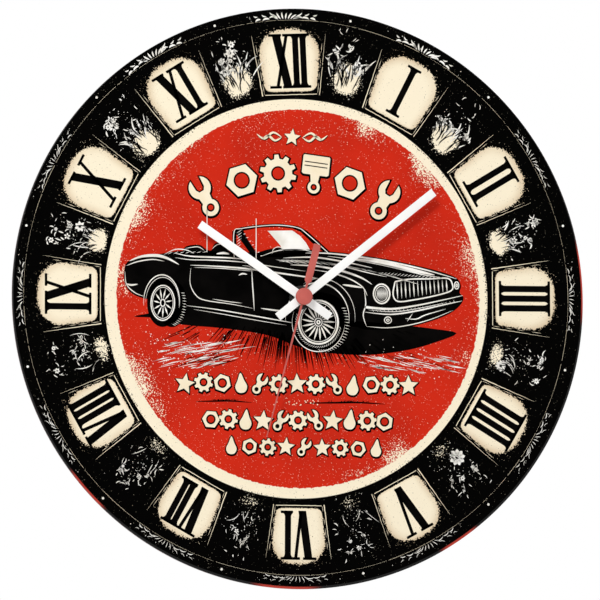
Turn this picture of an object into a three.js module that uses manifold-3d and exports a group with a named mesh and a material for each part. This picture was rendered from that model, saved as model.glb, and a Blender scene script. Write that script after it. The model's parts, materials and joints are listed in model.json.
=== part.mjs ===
// Round advertising wall clock: a flat printed board with a quartz movement behind it and
// three baton hands in front of it.
//
// The clock is drawn lying in its own plane: x to the right, y up, z out of the wall, all in
// millimetres. The last lines stand it upright, so that +Z is up and the dial looks along -Y.
// The origin is on the hand arbor, at the wall plane behind the movement.

import * as THREE from 'three';
import { mergeVertices } from 'three/addons/utils/BufferGeometryUtils.js';
import Module from 'manifold-3d';

const wasm = await Module();
wasm.setup();

// ---------------------------------------------------------------- driving dimensions

// Board and face
const boardDiameter = 300;
const boardThickness = 3;
const printMargin = 0.75; // bare board left round the face
const printThickness = 0.3;
const printShift = { x: -0.25, y: 0.5 }; // the face is glued on slightly off centre

// Clearances
const seatGap = 0.05; // between pieces that rest on each other
const runGap = 0.3; // round a piece that turns
const looseGap = 0.6; // round a piece that only has to miss its neighbour
const endGap = 0.1; // at the end of a pivot
const fused = 0.2; // how far two shapes of one piece run into each other

// Hands
const handWidth = 4.4;
const handThickness = 0.6;
const hourHandLength = 65;
const hourHandTail = 17.6;
const minuteHandLength = 88.5;
const minuteHandTail = 17;
const secondHandLength = 75;
const secondHandTail = 28;
const secondHandThickness = 0.5;
const needleRootWidth = 1.2;
const needleTipWidth = 0.6;
const counterweightWidth = 3.7;
const counterweightStart = 7; // from the arbor to where the tail starts to widen
const capRadius = 4.4;
const capHeight = 1.6;
const hourHandEye = 4; // radii of the discs round the arbor, all hidden by the cap
const minuteHandEye = 3.8;
const secondHandEye = 3.6;
const handGap = 1.2; // free height between the hour and minute hands
const firstHandGap = 1; // free height under the hour hand
const colletReach = 0.8; // the second hand's collet, below the hand and round the arbor
const pipeOverHand = 0.3; // a pipe stands this far proud of its hand
const shownTime = { hours: 10, minutes: 8, seconds: 32.5 };

// Arbors, pipes and bushing, all on the origin's axis
const secondsArborRadius = 0.5;
const pipeWall = 0.7; // minute pipe and hour tube
const bushingWall = 1.2;
const bushingFlangeWidth = 1.6;
const bushingFlangeThickness = 0.7;
const threadShown = 0.4; // the bushing stands this far proud of the nut
const nutAcrossFlats = 11;
const nutThickness = 1.8;
const washerOuterRadius = 6.2;
const washerThickness = 0.5;
const gasketOuterRadius = 13;
const gasketThickness = 1;

// Movement case
const caseWall = 1.3;
const caseFaceWall = 1.2; // front and rear walls
const caseCornerRadius = 3;
const rearCoverDepth = 5.9;
const caseSplitGap = 0.1;
const partitionWall = 1;
const wellWall = 0.8; // round the well of the setting knob
const bossWall = 0.9; // round a pivot's hole
const bayLip = 0.8; // rim left round the opening of the cell bay
const clipLength = 8;
const clipRoot = 3; // grown together with the front case
const clipReach = 4; // over the rear cover's side
const clipThickness = 1.1;

// Cell and its contacts
const cellDiameter = 14.3;
const cellLength = 50.5;
const cellNubRadius = 2.75;
const cellNubLength = 1;
const contactThickness = 0.4;
const contactWidth = 3.5;
const springWireRadius = 0.3;
const springTurns = 2;
const springReach = 1.9;
const springSmallRadius = 2; // at the cell
const springLargeRadius = 4.2; // at the contact

// Gear train: leaves of the pinion, teeth of the wheel it turns, and the module of the wheel
const rotorMesh = { leaves: 8, teeth: 40, module: 0.3 };
const secondsMesh = { leaves: 8, teeth: 48, module: 0.36 };
const thirdMesh = { leaves: 8, teeth: 60, module: 0.32 };
const centreMesh = { leaves: 8, teeth: 64 }; // module follows from the third wheel's place
const minuteMesh = { leaves: 12, teeth: 36, module: 0.4 };
const hourMesh = { leaves: 10, teeth: 40 }; // module follows from the minute wheel's place
const settingLeaves = 18; // meshes with the minute wheel

const thirdDirection = 135; // degrees from +x, seen from the front
const fifthDirection = 45;
const rotorDirection = 15; // from the fifth wheel
const minuteWheelDirection = 190;
const settingDirection = 190; // from the minute wheel

const wheelThickness = 1;
const fifthWheelThickness = 0.8;
const pinionLength = 1.7;
const pivotRadius = 0.5;
const settingArborRadius = 1;
const thirdSleeveRadius = 1; // between the third wheel and its pinion
const pivotBossHeight = 0.8;
const bossGap = 0.2; // between a boss and the wheel that turns on it
const magnetGap = 1; // free height between the fifth wheel and the magnet
const hourWheelGap = 0.4; // between the minute pipe's pinion and the hour wheel
const bushingGap = 0.25; // between the hour wheel and the bushing's flange
const plateThickness = 0.8;
const platePillarRadius = 1.2;

// Stepping motor
const magnetRadius = 2.9;
const magnetLength = 2.6;
const statorThickness = 1.2;
const statorInset = 0.9; // from the magnet's rear to the stator's
const statorRim = 2.3; // metal round the magnet
const statorNeck = 3.4; // free height between the stator's body and the coil
const statorLegWidth = 3.2;
const coilRadius = 3.8;
const coilLength = 12.6;
const coilFlange = 0.8;
const bobbinBarrelRadius = 2;
const coreWidth = 2.4;
const coreThickness = 1.2;
const coilOffset = 1.3; // the coil's middle lies this far to the left of the rotor
const coilOverlap = 0.4; // the coil's flange may reach this far over the third wheel
const coilRoom = 0.8; // between the coil and the case

// Electronics
const circuitThickness = 1;
const circuitLength = 23;
const circuitSideRoom = 2.2;
const circuitTopRoom = 0.8;
const circuitInset = 0.7; // its rear lies this far behind the coil core's
const crystalRadius = 1;
const crystalLength = 6;
const chipRadius = 2.4;
const chipHeight = 1;

// Setting knob
const knobRadius = 4.8;
const knobThickness = 2.1;
const knobFlutes = 12;
const knobInset = 0.5; // its rear face lies this far inside the case's
const fluteRadius = 0.9;
const fluteOffset = 0.35; // the flutes' centres lie this far outside the knob's edge

// Hanger
const hangerWidth = 22;
const hangerTabWidth = 14;
const hangerThickness = 0.8;
const hangerTabHeight = 12;
const hangerHoleRadius = 3.5;
const hangerStandoff = 0.8; // between the tab and the wall

// ---------------------------------------------------------------- helpers

// A Manifold solid from a closed three.js geometry.
function solidOf(geometry) {
  geometry.deleteAttribute('normal');
  geometry.deleteAttribute('uv');
  const merged = mergeVertices(geometry, 1e-4);
  return new wasm.Manifold(new wasm.Mesh({
    numProp: 3,
    vertProperties: new Float32Array(merged.attributes.position.array),
    triVerts: new Uint32Array(merged.index.array),
  }));
}

// A three.js geometry from a Manifold solid.
function geometryOf(solid) {
  const mesh = solid.getMesh();
  const geometry = new THREE.BufferGeometry();
  geometry.setAttribute('position', new THREE.BufferAttribute(mesh.vertProperties, 3));
  geometry.setIndex(new THREE.BufferAttribute(mesh.triVerts, 1));
  geometry.computeVertexNormals();
  return geometry;
}

function join(first, ...others) {
  return others.reduce((total, other) => total.add(other), first);
}

function cut(first, ...others) {
  return others.reduce((total, other) => total.subtract(other), first);
}

// A flat outline given depth, from z = rear to z = front.
function slab(shape, rear, front, curveSegments = 12) {
  const geometry = new THREE.ExtrudeGeometry(shape, {
    depth: front - rear,
    bevelEnabled: false,
    curveSegments,
  });
  geometry.translate(0, 0, rear);
  return solidOf(geometry);
}

function circle(radius, centre = { x: 0, y: 0 }) {
  const shape = new THREE.Shape();
  shape.absarc(centre.x, centre.y, radius, 0, 2 * Math.PI, false);
  return shape;
}

// A round bar along z; segments counts the sides round a full circle.
function bar(radius, rear, front, centre = { x: 0, y: 0 }, segments = 24) {
  return slab(circle(radius, centre), rear, front, segments / 2);
}

function tube(outer, inner, rear, front, centre = { x: 0, y: 0 }, segments = 24) {
  const shape = circle(outer, centre);
  shape.holes.push(circle(inner, centre));
  return slab(shape, rear, front, segments / 2);
}

function block(x0, x1, y0, y1, rear, front) {
  const geometry = new THREE.BoxGeometry(x1 - x0, y1 - y0, front - rear);
  geometry.translate((x0 + x1) / 2, (y0 + y1) / 2, (rear + front) / 2);
  return solidOf(geometry);
}

function roundedRectangle(x0, x1, y0, y1, radius) {
  const shape = new THREE.Shape();
  shape.absarc(x1 - radius, y1 - radius, radius, 0, Math.PI / 2, false);
  shape.absarc(x0 + radius, y1 - radius, radius, Math.PI / 2, Math.PI, false);
  shape.absarc(x0 + radius, y0 + radius, radius, Math.PI, 1.5 * Math.PI, false);
  shape.absarc(x1 - radius, y0 + radius, radius, 1.5 * Math.PI, 2 * Math.PI, false);
  return shape;
}

function polar(radius, degrees, from = { x: 0, y: 0 }) {
  const angle = THREE.MathUtils.degToRad(degrees);
  return { x: from.x + radius * Math.cos(angle), y: from.y + radius * Math.sin(angle) };
}

// ---------------------------------------------------------------- gears

const addendum = 0.9; // tooth height above the pitch circle, in modules
const dedendum = 1.25; // and below it
const toothForm = { tipHalf: 0.11, rootHalf: 0.26 }; // half widths in tooth pitches
const leafForm = { tipHalf: 0.1, rootHalf: 0.22 };

const tipRadius = (teeth, module) => (teeth / 2 + addendum) * module;

// The outline of a gear whose first tooth is centred on the angle phase.
function gearShape(teeth, module, phase, form, centre) {
  const pitch = (2 * Math.PI) / teeth;
  const outer = tipRadius(teeth, module);
  const inner = (teeth / 2 - dedendum) * module;
  const points = [];
  for (let i = 0; i < teeth; i += 1) {
    const middle = phase + i * pitch;
    for (const [radius, offset] of [
      [inner, -form.rootHalf],
      [outer, -form.tipHalf],
      [outer, form.tipHalf],
      [inner, form.rootHalf],
    ]) {
      const angle = middle + offset * pitch;
      points.push(new THREE.Vector2(
        centre.x + radius * Math.cos(angle),
        centre.y + radius * Math.sin(angle),
      ));
    }
  }
  return new THREE.Shape(points);
}

function wheel(teeth, module, phase, rear, front, centre) {
  return slab(gearShape(teeth, module, phase, toothForm, centre), rear, front);
}

function pinion(leaves, module, phase, rear, front, centre) {
  return slab(gearShape(leaves, module, phase, leafForm, centre), rear, front);
}

const meshDistance = (a, b, module) => ((a + b) / 2) * module;

// The phase that puts a gap of gear b opposite a tooth of gear a, where b lies in the
// direction (degrees) from a, and a has the phase given.
function meshedPhase(teethA, phaseA, teethB, degrees) {
  const direction = THREE.MathUtils.degToRad(degrees);
  const toothOfA = ((direction - phaseA) * teethA) / (2 * Math.PI);
  return direction + Math.PI - ((0.5 - toothOfA) * 2 * Math.PI) / teethB;
}

// ---------------------------------------------------------------- places in the train

const thirdDistance = meshDistance(thirdMesh.leaves, thirdMesh.teeth, thirdMesh.module);
const fifthDistance = meshDistance(secondsMesh.leaves, secondsMesh.teeth, secondsMesh.module);
const rotorDistance = meshDistance(rotorMesh.leaves, rotorMesh.teeth, rotorMesh.module);
const minuteDistance = meshDistance(minuteMesh.leaves, minuteMesh.teeth, minuteMesh.module);
const settingDistance = meshDistance(settingLeaves, minuteMesh.teeth, minuteMesh.module);
const centreModule = (2 * thirdDistance) / (centreMesh.leaves + centreMesh.teeth);
const hourModule = (2 * minuteDistance) / (hourMesh.leaves + hourMesh.teeth);

const centreAt = { x: 0, y: 0 };
const thirdAt = polar(thirdDistance, thirdDirection);
const fifthAt = polar(fifthDistance, fifthDirection);
const rotorAt = polar(rotorDistance, rotorDirection, fifthAt);
const minuteWheelAt = polar(minuteDistance, minuteWheelDirection);
const settingAt = polar(settingDistance, settingDirection, minuteWheelAt);

// Radii outward from the arbor
const minutePipeInner = secondsArborRadius + runGap;
const minutePipeOuter = minutePipeInner + pipeWall;
const hourTubeInner = minutePipeOuter + runGap;
const hourTubeOuter = hourTubeInner + pipeWall;
const bushingInner = hourTubeOuter + runGap;
const bushingOuter = bushingInner + bushingWall;

// Levels of the train, from the rear wall towards the dial
const rearInner = caseFaceWall;
const secondsWheelRear = rearInner + pivotBossHeight + bossGap;
const secondsWheelFront = secondsWheelRear + wheelThickness;
const fifthWheelRear = secondsWheelFront + looseGap;
const fifthWheelFront = fifthWheelRear + fifthWheelThickness;
const thirdWheelRear = fifthWheelFront + looseGap;
const thirdWheelFront = thirdWheelRear + wheelThickness;
const magnetRear = fifthWheelFront + magnetGap;
const magnetFront = magnetRear + magnetLength;
const plateRear = magnetFront + runGap;
const plateFront = plateRear + plateThickness;
const centreWheelRear = plateFront + looseGap;
const centreWheelFront = centreWheelRear + wheelThickness;
const minutePinionRear = centreWheelFront + runGap;
const minutePinionFront = minutePinionRear + pinionLength;
const minuteWheelRear = centreWheelFront + looseGap;
const minuteWheelFront = minuteWheelRear + wheelThickness;
const hourWheelRear = minutePinionFront + hourWheelGap;
const hourWheelFront = hourWheelRear + wheelThickness;

// Case: the cell lies below the train, along x
const cellSideRoom = 0.5;
const cellEndRoom = 2.9; // for both contacts
const cellRearLip = 0.6; // the cell stands this far inside the rear face
const cellFrontRoom = 0.4;
const trainFront = hourWheelFront + bushingGap + bushingFlangeThickness + seatGap;
const cellFront = cellRearLip + cellDiameter + cellFrontRoom;
const frontInner = Math.max(trainFront, cellFront);
const caseDepth = frontInner + caseFaceWall;

const reachBelow = Math.max(
  tipRadius(secondsMesh.teeth, secondsMesh.module),
  tipRadius(centreMesh.teeth, centreModule),
  tipRadius(minuteMesh.teeth, minuteMesh.module) - minuteWheelAt.y,
  knobRadius + looseGap + wellWall - settingAt.y,
);
const partitionTop = -reachBelow - 2 * looseGap;
const partitionBottom = partitionTop - partitionWall;
const bayBottom = partitionBottom - cellDiameter - 2 * cellSideRoom;
const cellAt = { y: (partitionBottom + bayBottom) / 2, z: cellRearLip + cellDiameter / 2 };

const coilAt = {
  x: rotorAt.x - coilOffset,
  y: Math.max(
    rotorAt.y + magnetRadius + statorRim + statorNeck,
    thirdAt.y + tipRadius(thirdMesh.teeth, thirdMesh.module) - coilOverlap,
  ) + coilRadius,
};
const topInner = coilAt.y + coilRadius + coilRoom;
const sideInner = Math.max(
  (cellLength + cellEndRoom) / 2,
  knobRadius + looseGap + wellWall + looseGap - settingAt.x,
  coilAt.x + coilLength / 2 + statorLegWidth + contactThickness + 2 * looseGap,
);
const caseHalfWidth = sideInner + caseWall;
const caseTop = topInner + caseWall;
const caseBottom = bayBottom - caseWall;

// The stack in front of the case
const hangerRear = caseDepth + seatGap;
const hangerFront = hangerRear + hangerThickness;
const gasketRear = hangerFront + seatGap;
const gasketFront = gasketRear + gasketThickness;
const boardRear = gasketFront + seatGap;
const boardFront = boardRear + boardThickness;
const printRear = boardFront + seatGap;
const printFront = printRear + printThickness;
const washerRear = printFront + seatGap;
const washerFront = washerRear + washerThickness;
const nutRear = washerFront + seatGap;
const nutFront = nutRear + nutThickness;
const bushingFront = nutFront + threadShown;
const hourHandRear = bushingFront + firstHandGap;
const hourHandFront = hourHandRear + handThickness;
const minuteHandRear = hourHandFront + handGap;
const minuteHandFront = minuteHandRear + handThickness;
const secondHandRear = minuteHandFront + pipeOverHand + colletReach + runGap;
const secondHandFront = secondHandRear + secondHandThickness;

// ---------------------------------------------------------------- pieces

const pieces = [];

function piece(name, solid, material, turn = 0) {
  const mesh = new THREE.Mesh(geometryOf(solid), material);
  mesh.name = name;
  mesh.rotation.z = turn;
  pieces.push(mesh);
}

const finish = (color, roughness, metalness) => (
  new THREE.MeshStandardMaterial({ color, roughness, metalness })
);
const redBoard = finish(0xb5331f, 0.6, 0);
const blackPrint = finish(0x14110f, 0.45, 0);
const whiteHand = finish(0xf6f3ee, 0.4, 0);
const redHand = finish(0xc85a50, 0.45, 0);
const blackPlastic = finish(0x1b1b1c, 0.55, 0);
const whitePlastic = finish(0xe8e6df, 0.5, 0);
const brass = finish(0xb8923f, 0.35, 1);
const blackMetal = finish(0x16161a, 0.4, 0.6);
const steel = finish(0xa9abad, 0.35, 1);
const copper = finish(0xb0602f, 0.4, 0.8);
const rubber = finish(0x202020, 0.9, 0);
const magnet = finish(0x3a3a3c, 0.6, 0.2);
const greenBoard = finish(0x1f6a3a, 0.5, 0);
const cellSkin = finish(0x2f6f8f, 0.35, 0.4);

// Board and face
const discSides = 144;

function board() {
  const disc = bar(boardDiameter / 2, boardRear, boardFront, centreAt, discSides);
  return cut(disc, bar(bushingOuter + runGap, boardRear - 1, boardFront + 1));
}

function face() {
  const radius = boardDiameter / 2 - printMargin;
  const sheet = bar(radius, printRear, printFront, printShift, discSides);
  return cut(sheet, bar(bushingOuter + runGap, printRear - 1, printFront + 1));
}

// The nut, washer, gasket and bushing clamp the board to the movement.
function bushing() {
  const flangeFront = frontInner - seatGap;
  const flange = bar(bushingOuter + bushingFlangeWidth, flangeFront - bushingFlangeThickness,
    flangeFront);
  const barrel = bar(bushingOuter, flangeFront - bushingFlangeThickness, bushingFront);
  return cut(join(flange, barrel), bar(bushingInner, rearInner, bushingFront + 1));
}

function nut() {
  const shape = new THREE.Shape();
  for (let i = 0; i < 6; i += 1) {
    const corner = polar(nutAcrossFlats / Math.sqrt(3), 60 * i);
    if (i === 0) shape.moveTo(corner.x, corner.y);
    else shape.lineTo(corner.x, corner.y);
  }
  shape.closePath();
  shape.holes.push(circle(bushingOuter + seatGap));
  return slab(shape, nutRear, nutFront);
}

// A bent steel strip held under the gasket: it goes up past the case, back to the wall and
// up again into a tab with the hole for the nail.
function hanger() {
  const shelfBottom = caseTop + looseGap;
  const shelfTop = shelfBottom + hangerThickness;
  const tabTop = shelfTop + hangerTabHeight;
  const tabFront = hangerStandoff + hangerThickness;
  const stripCorner = 1.5;
  const tabCorner = 3;
  const strip = slab(
    roundedRectangle(-hangerWidth / 2, hangerWidth / 2, -hangerWidth / 2, shelfTop,
      stripCorner),
    hangerRear, hangerFront, 3);
  const shelf = block(-hangerTabWidth / 2, hangerTabWidth / 2, shelfBottom, shelfTop,
    tabFront - hangerThickness, hangerFront - hangerThickness / 2);
  const tab = slab(
    roundedRectangle(-hangerTabWidth / 2, hangerTabWidth / 2, shelfBottom, tabTop,
      tabCorner),
    tabFront - hangerThickness, tabFront, 4);
  return cut(
    join(strip, shelf, tab),
    bar(bushingOuter + runGap, hangerRear - 1, hangerFront + 1),
    bar(hangerHoleRadius, -1, tabFront + 1, { x: 0, y: shelfTop + hangerTabHeight / 2 }),
  );
}

// Movement case. The rear cover holds the open cell bay and the well of the setting knob.
const pivots = [centreAt, thirdAt, fifthAt, rotorAt];

function rearCover() {
  const outline = roundedRectangle(-caseHalfWidth, caseHalfWidth, caseBottom, caseTop,
    caseCornerRadius);
  const inside = block(-sideInner, sideInner, bayBottom, topInner, rearInner,
    rearCoverDepth + 1);
  const shell = cut(slab(outline, 0, rearCoverDepth, 4), inside);
  const partition = block(-sideInner - fused, sideInner + fused, partitionBottom, partitionTop,
    rearInner / 2, rearCoverDepth);
  const wellFloor = knobThickness + 2 * looseGap;
  const wellRadius = knobRadius + looseGap;
  const well = bar(wellRadius + wellWall, rearInner / 2, wellFloor + wellWall, settingAt, 32);
  const bosses = pivots.map((at) => bar(pivotRadius + bossWall, rearInner / 2,
    rearInner + pivotBossHeight, at, 12));
  const holeDepth = 0.4; // into the rear wall
  const holes = pivots.map((at) => bar(pivotRadius + runGap, rearInner - holeDepth,
    rearInner + pivotBossHeight + 1, at, 12));
  const openingRoom = 0.2; // at each end of the cell
  const cellOpening = block(-cellLength / 2 - openingRoom, cellLength / 2 + openingRoom,
    bayBottom + bayLip, partitionBottom - bayLip, -1, rearInner + 1);
  return cut(
    join(shell, partition, well, ...bosses),
    ...holes,
    cellOpening,
    bar(wellRadius, -1, wellFloor, settingAt, 32),
    bar(settingArborRadius + runGap, wellFloor - 1, wellFloor + 2, settingAt, 16),
  );
}

function frontCase() {
  const rear = rearCoverDepth + caseSplitGap;
  const outline = roundedRectangle(-caseHalfWidth, caseHalfWidth, caseBottom, caseTop,
    caseCornerRadius);
  const inside = block(-sideInner, sideInner, bayBottom, topInner, rear - 1, frontInner);
  const shell = cut(slab(outline, rear, caseDepth, 4), inside);
  const slotWidth = 2 * contactThickness + looseGap;
  const partition = block(-sideInner + slotWidth, sideInner - slotWidth, partitionBottom,
    partitionTop, rear, frontInner + fused);
  const bossRear = frontInner - pivotBossHeight;
  // Three pillars carry the middle plate, where no wheel turns in front of it.
  const pillars = [
    { x: rotorAt.x + 2, y: -7 },
    { x: rotorAt.x + 2.4, y: rotorAt.y + 4.5 },
    { x: thirdAt.x - 4.3, y: thirdAt.y + 5.3 },
  ].map((at) => bar(platePillarRadius, plateFront + seatGap, frontInner + fused, at, 12));
  const minuteStud = bar(pivotRadius, minuteWheelRear - runGap, frontInner + fused,
    minuteWheelAt, 12);
  const thirdBoss = bar(pivotRadius + bossWall, bossRear, frontInner + fused, thirdAt, 12);
  const settingBoss = bar(settingArborRadius + bossWall, bossRear, frontInner + fused,
    settingAt, 16);
  const clips = [-1, 1].flatMap((side) => {
    const outer = side * (caseHalfWidth + clipThickness);
    const free = side * (caseHalfWidth + 2 * seatGap);
    const root = side * (caseHalfWidth - caseWall / 2);
    const span = (a, b, z0, z1) => block(Math.min(a, b), Math.max(a, b),
      -clipLength / 2, clipLength / 2, z0, z1);
    return [
      span(root, outer, rear, rear + clipRoot),
      span(free, outer, rear - clipReach, rear + seatGap),
    ];
  });
  return cut(
    join(shell, partition, ...pillars, minuteStud, thirdBoss, settingBoss, ...clips),
    bar(bushingOuter + seatGap, frontInner - 1, caseDepth + 1),
    bar(pivotRadius + runGap, bossRear - 1, frontInner, thirdAt, 12),
    bar(settingArborRadius + runGap, bossRear - 1, frontInner, settingAt, 16),
  );
}

// The middle plate spans the rear half of the train, from past the third wheel's arbor to
// past the rotor's.
function middlePlate() {
  const shape = roundedRectangle(
    thirdAt.x - 6.3, rotorAt.x + 5.6, -9.4, rotorAt.y + 6.4, 2);
  shape.holes.push(
    circle(secondsArborRadius + runGap),
    circle(thirdSleeveRadius + runGap, thirdAt),
    circle(pivotRadius + runGap, fifthAt),
    circle(pivotRadius + runGap, rotorAt),
  );
  return slab(shape, plateRear, plateFront, 6);
}

// Wheels of the train
const secondsWheelPhase = 0;
const fifthPinionPhase = meshedPhase(secondsMesh.teeth, secondsWheelPhase, secondsMesh.leaves,
  fifthDirection);
const fifthWheelPhase = 0;
const rotorPhase = meshedPhase(rotorMesh.teeth, fifthWheelPhase, rotorMesh.leaves,
  rotorDirection);
const secondsPinionPhase = 0;
const thirdWheelPhase = meshedPhase(thirdMesh.leaves, secondsPinionPhase, thirdMesh.teeth,
  thirdDirection);
const thirdPinionPhase = 0;
const centreWheelPhase = meshedPhase(centreMesh.leaves, thirdPinionPhase, centreMesh.teeth,
  thirdDirection + 180);
const minutePinionPhase = 0;
const minuteWheelPhase = meshedPhase(minuteMesh.leaves, minutePinionPhase, minuteMesh.teeth,
  minuteWheelDirection);
const minuteWheelPinionPhase = 0;
const hourWheelPhase = meshedPhase(hourMesh.leaves, minuteWheelPinionPhase, hourMesh.teeth,
  minuteWheelDirection + 180);
const settingPhase = meshedPhase(minuteMesh.teeth, minuteWheelPhase, settingLeaves,
  settingDirection);

const pivotRear = rearInner + endGap;
const rotorSleeveRadius = pivotRadius + 0.4;
const leafOverrun = 0.15; // how far the fifth wheel's leaves run past the seconds wheel

function rotorPinion() {
  return join(
    bar(pivotRadius, pivotRear, plateFront, rotorAt, 12),
    pinion(rotorMesh.leaves, rotorMesh.module, rotorPhase, fifthWheelRear - runGap,
      fifthWheelFront + runGap, rotorAt),
    bar(rotorSleeveRadius, fifthWheelFront, magnetFront, rotorAt, 12),
  );
}

function rotorMagnet() {
  return tube(magnetRadius, rotorSleeveRadius + seatGap, magnetRear, magnetFront, rotorAt);
}

function fifthWheel() {
  return join(
    bar(pivotRadius, pivotRear, plateFront, fifthAt, 12),
    pinion(secondsMesh.leaves, secondsMesh.module, fifthPinionPhase,
      secondsWheelRear - leafOverrun, fifthWheelRear + fused, fifthAt),
    wheel(rotorMesh.teeth, rotorMesh.module, fifthWheelPhase, fifthWheelRear, fifthWheelFront,
      fifthAt),
  );
}

function secondsWheel() {
  const body = join(
    wheel(secondsMesh.teeth, secondsMesh.module, secondsWheelPhase, secondsWheelRear,
      secondsWheelFront, centreAt),
    pinion(thirdMesh.leaves, thirdMesh.module, secondsPinionPhase, secondsWheelFront - fused,
      thirdWheelFront + runGap, centreAt),
  );
  return cut(body, bar(secondsArborRadius + seatGap, 0, plateFront, centreAt, 12));
}

function thirdWheel() {
  return join(
    bar(pivotRadius, pivotRear, frontInner - endGap, thirdAt, 12),
    wheel(thirdMesh.teeth, thirdMesh.module, thirdWheelPhase, thirdWheelRear, thirdWheelFront,
      thirdAt),
    bar(thirdSleeveRadius, thirdWheelRear - fused, centreWheelRear, thirdAt, 12),
    pinion(centreMesh.leaves, centreModule, thirdPinionPhase, centreWheelRear - runGap,
      centreWheelFront + runGap, thirdAt),
  );
}

function centreWheel() {
  const body = wheel(centreMesh.teeth, centreModule, centreWheelPhase, centreWheelRear,
    centreWheelFront, centreAt);
  return cut(body, bar(minutePipeOuter + seatGap, 0, frontInner));
}

function minutePipe() {
  const body = join(
    bar(minutePipeOuter, centreWheelRear - fused, minuteHandFront + pipeOverHand),
    pinion(minuteMesh.leaves, minuteMesh.module, minutePinionPhase, minutePinionRear,
      minutePinionFront, centreAt),
  );
  return cut(body, bar(minutePipeInner, 0, secondHandFront, centreAt, 16));
}

function minuteWheel() {
  const body = join(
    wheel(minuteMesh.teeth, minuteMesh.module, minuteWheelPhase, minuteWheelRear,
      minuteWheelFront, minuteWheelAt),
    pinion(hourMesh.leaves, hourModule, minuteWheelPinionPhase, minuteWheelFront - fused,
      hourWheelFront + fused, minuteWheelAt),
  );
  return cut(body, bar(pivotRadius + runGap, 0, frontInner, minuteWheelAt, 12));
}

function hourWheel() {
  const body = join(
    wheel(hourMesh.teeth, hourModule, hourWheelPhase, hourWheelRear, hourWheelFront, centreAt),
    bar(hourTubeOuter, hourWheelRear, hourHandFront + pipeOverHand),
  );
  return cut(body, bar(hourTubeInner, 0, secondHandFront));
}

function settingWheel() {
  return join(
    bar(settingArborRadius, knobInset + knobThickness + seatGap, frontInner - endGap,
      settingAt, 16),
    pinion(settingLeaves, minuteMesh.module, settingPhase, minuteWheelRear, minuteWheelFront,
      settingAt),
  );
}

function settingKnob() {
  const flutes = [];
  for (let i = 0; i < knobFlutes; i += 1) {
    const at = polar(knobRadius + fluteOffset, (360 / knobFlutes) * i, settingAt);
    flutes.push(bar(fluteRadius, 0, knobThickness + 1, at, 8));
  }
  return cut(bar(knobRadius, knobInset, knobInset + knobThickness, settingAt, 24), ...flutes);
}

// Stepping motor. The stator is a square plate round the magnet, with a leg to each end of
// the coil's core.
function stator() {
  const halfBody = magnetRadius + statorRim;
  const left = rotorAt.x - halfBody;
  const right = rotorAt.x + halfBody;
  const bottom = rotorAt.y - halfBody + 0.6;
  const top = rotorAt.y + halfBody;
  const legInner = coilLength / 2 + seatGap;
  const legOuter = legInner + statorLegWidth;
  const legTop = coilAt.y + coreWidth / 2 + 0.6;
  const shoulder = coilAt.y - coilRadius;
  const shape = new THREE.Shape([
    [left, bottom],
    [right, bottom],
    [right, rotorAt.y + 3.2],
    [coilAt.x + legOuter, rotorAt.y + 6.5],
    [coilAt.x + legOuter, legTop],
    [coilAt.x + legInner, legTop],
    [coilAt.x + legInner, shoulder - 1],
    [right - statorRim, top],
    [left + statorRim, top],
    [coilAt.x - legInner, shoulder - 0.4],
    [coilAt.x - legInner, legTop],
    [coilAt.x - legOuter, legTop],
    [coilAt.x - legOuter, rotorAt.y + 6.6],
    [left, rotorAt.y + 2.6],
  ].map(([x, y]) => new THREE.Vector2(x, y)));
  shape.holes.push(circle(magnetRadius + 0.5, rotorAt));
  return slab(shape, statorRear, statorRear + statorThickness);
}

const statorRear = magnetRear + statorInset;
const coreRear = statorRear + statorThickness + seatGap;

function coilCore() {
  const half = coilLength / 2 + statorLegWidth - 0.4;
  return block(coilAt.x - half, coilAt.x + half, coilAt.y - coreWidth / 2,
    coilAt.y + coreWidth / 2, coreRear, coreRear + coreThickness);
}

// A profile of [distance along the axis, radius] turned round an axis along x. It runs out
// from the low end, along the outside and in at the high end.
function turnedAlongX(profile, at, segments) {
  const geometry = new THREE.LatheGeometry(
    profile.map(([along, radius]) => new THREE.Vector2(radius, along)), segments);
  geometry.rotateZ(-Math.PI / 2);
  geometry.translate(at.x, at.y, at.z);
  return solidOf(geometry);
}

const coilCentre = { x: coilAt.x, y: coilAt.y, z: coreRear + coreThickness / 2 };

function coilBobbin() {
  const half = coilLength / 2;
  const hole = Math.hypot(coreWidth, coreThickness) / 2 + 2 * seatGap;
  const wall = half - coilFlange;
  return turnedAlongX([
    [-half, hole],
    [-half, coilRadius],
    [-wall, coilRadius],
    [-wall, bobbinBarrelRadius],
    [wall, bobbinBarrelRadius],
    [wall, coilRadius],
    [half, coilRadius],
    [half, hole],
    [-half, hole],
  ], coilCentre, 24);
}

function coilWinding() {
  const half = coilLength / 2 - coilFlange - 2 * seatGap;
  const inner = bobbinBarrelRadius + seatGap;
  const flangeShown = 0.4;
  const outer = coilRadius - flangeShown;
  return turnedAlongX([
    [-half, inner],
    [-half, outer],
    [half, outer],
    [half, inner],
    [-half, inner],
  ], coilCentre, 24);
}

// Electronics
const circuitLeft = -sideInner + circuitSideRoom;
const circuitRear = coreRear - circuitInset;
const circuitTop = topInner - circuitTopRoom;
const circuitBottom = thirdAt.y + tipRadius(thirdMesh.teeth, thirdMesh.module) + looseGap;
const circuitFront = circuitRear + circuitThickness;

function circuitBoard() {
  return block(circuitLeft, circuitLeft + circuitLength, circuitBottom, circuitTop,
    circuitRear, circuitFront);
}

function quartzCrystal() {
  return turnedAlongX([
    [0, 0],
    [0, crystalRadius],
    [crystalLength, crystalRadius],
    [crystalLength, 0],
  ], {
    x: circuitLeft + 9,
    y: (circuitBottom + circuitTop) / 2,
    z: circuitFront + crystalRadius + seatGap,
  }, 16);
}

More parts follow.
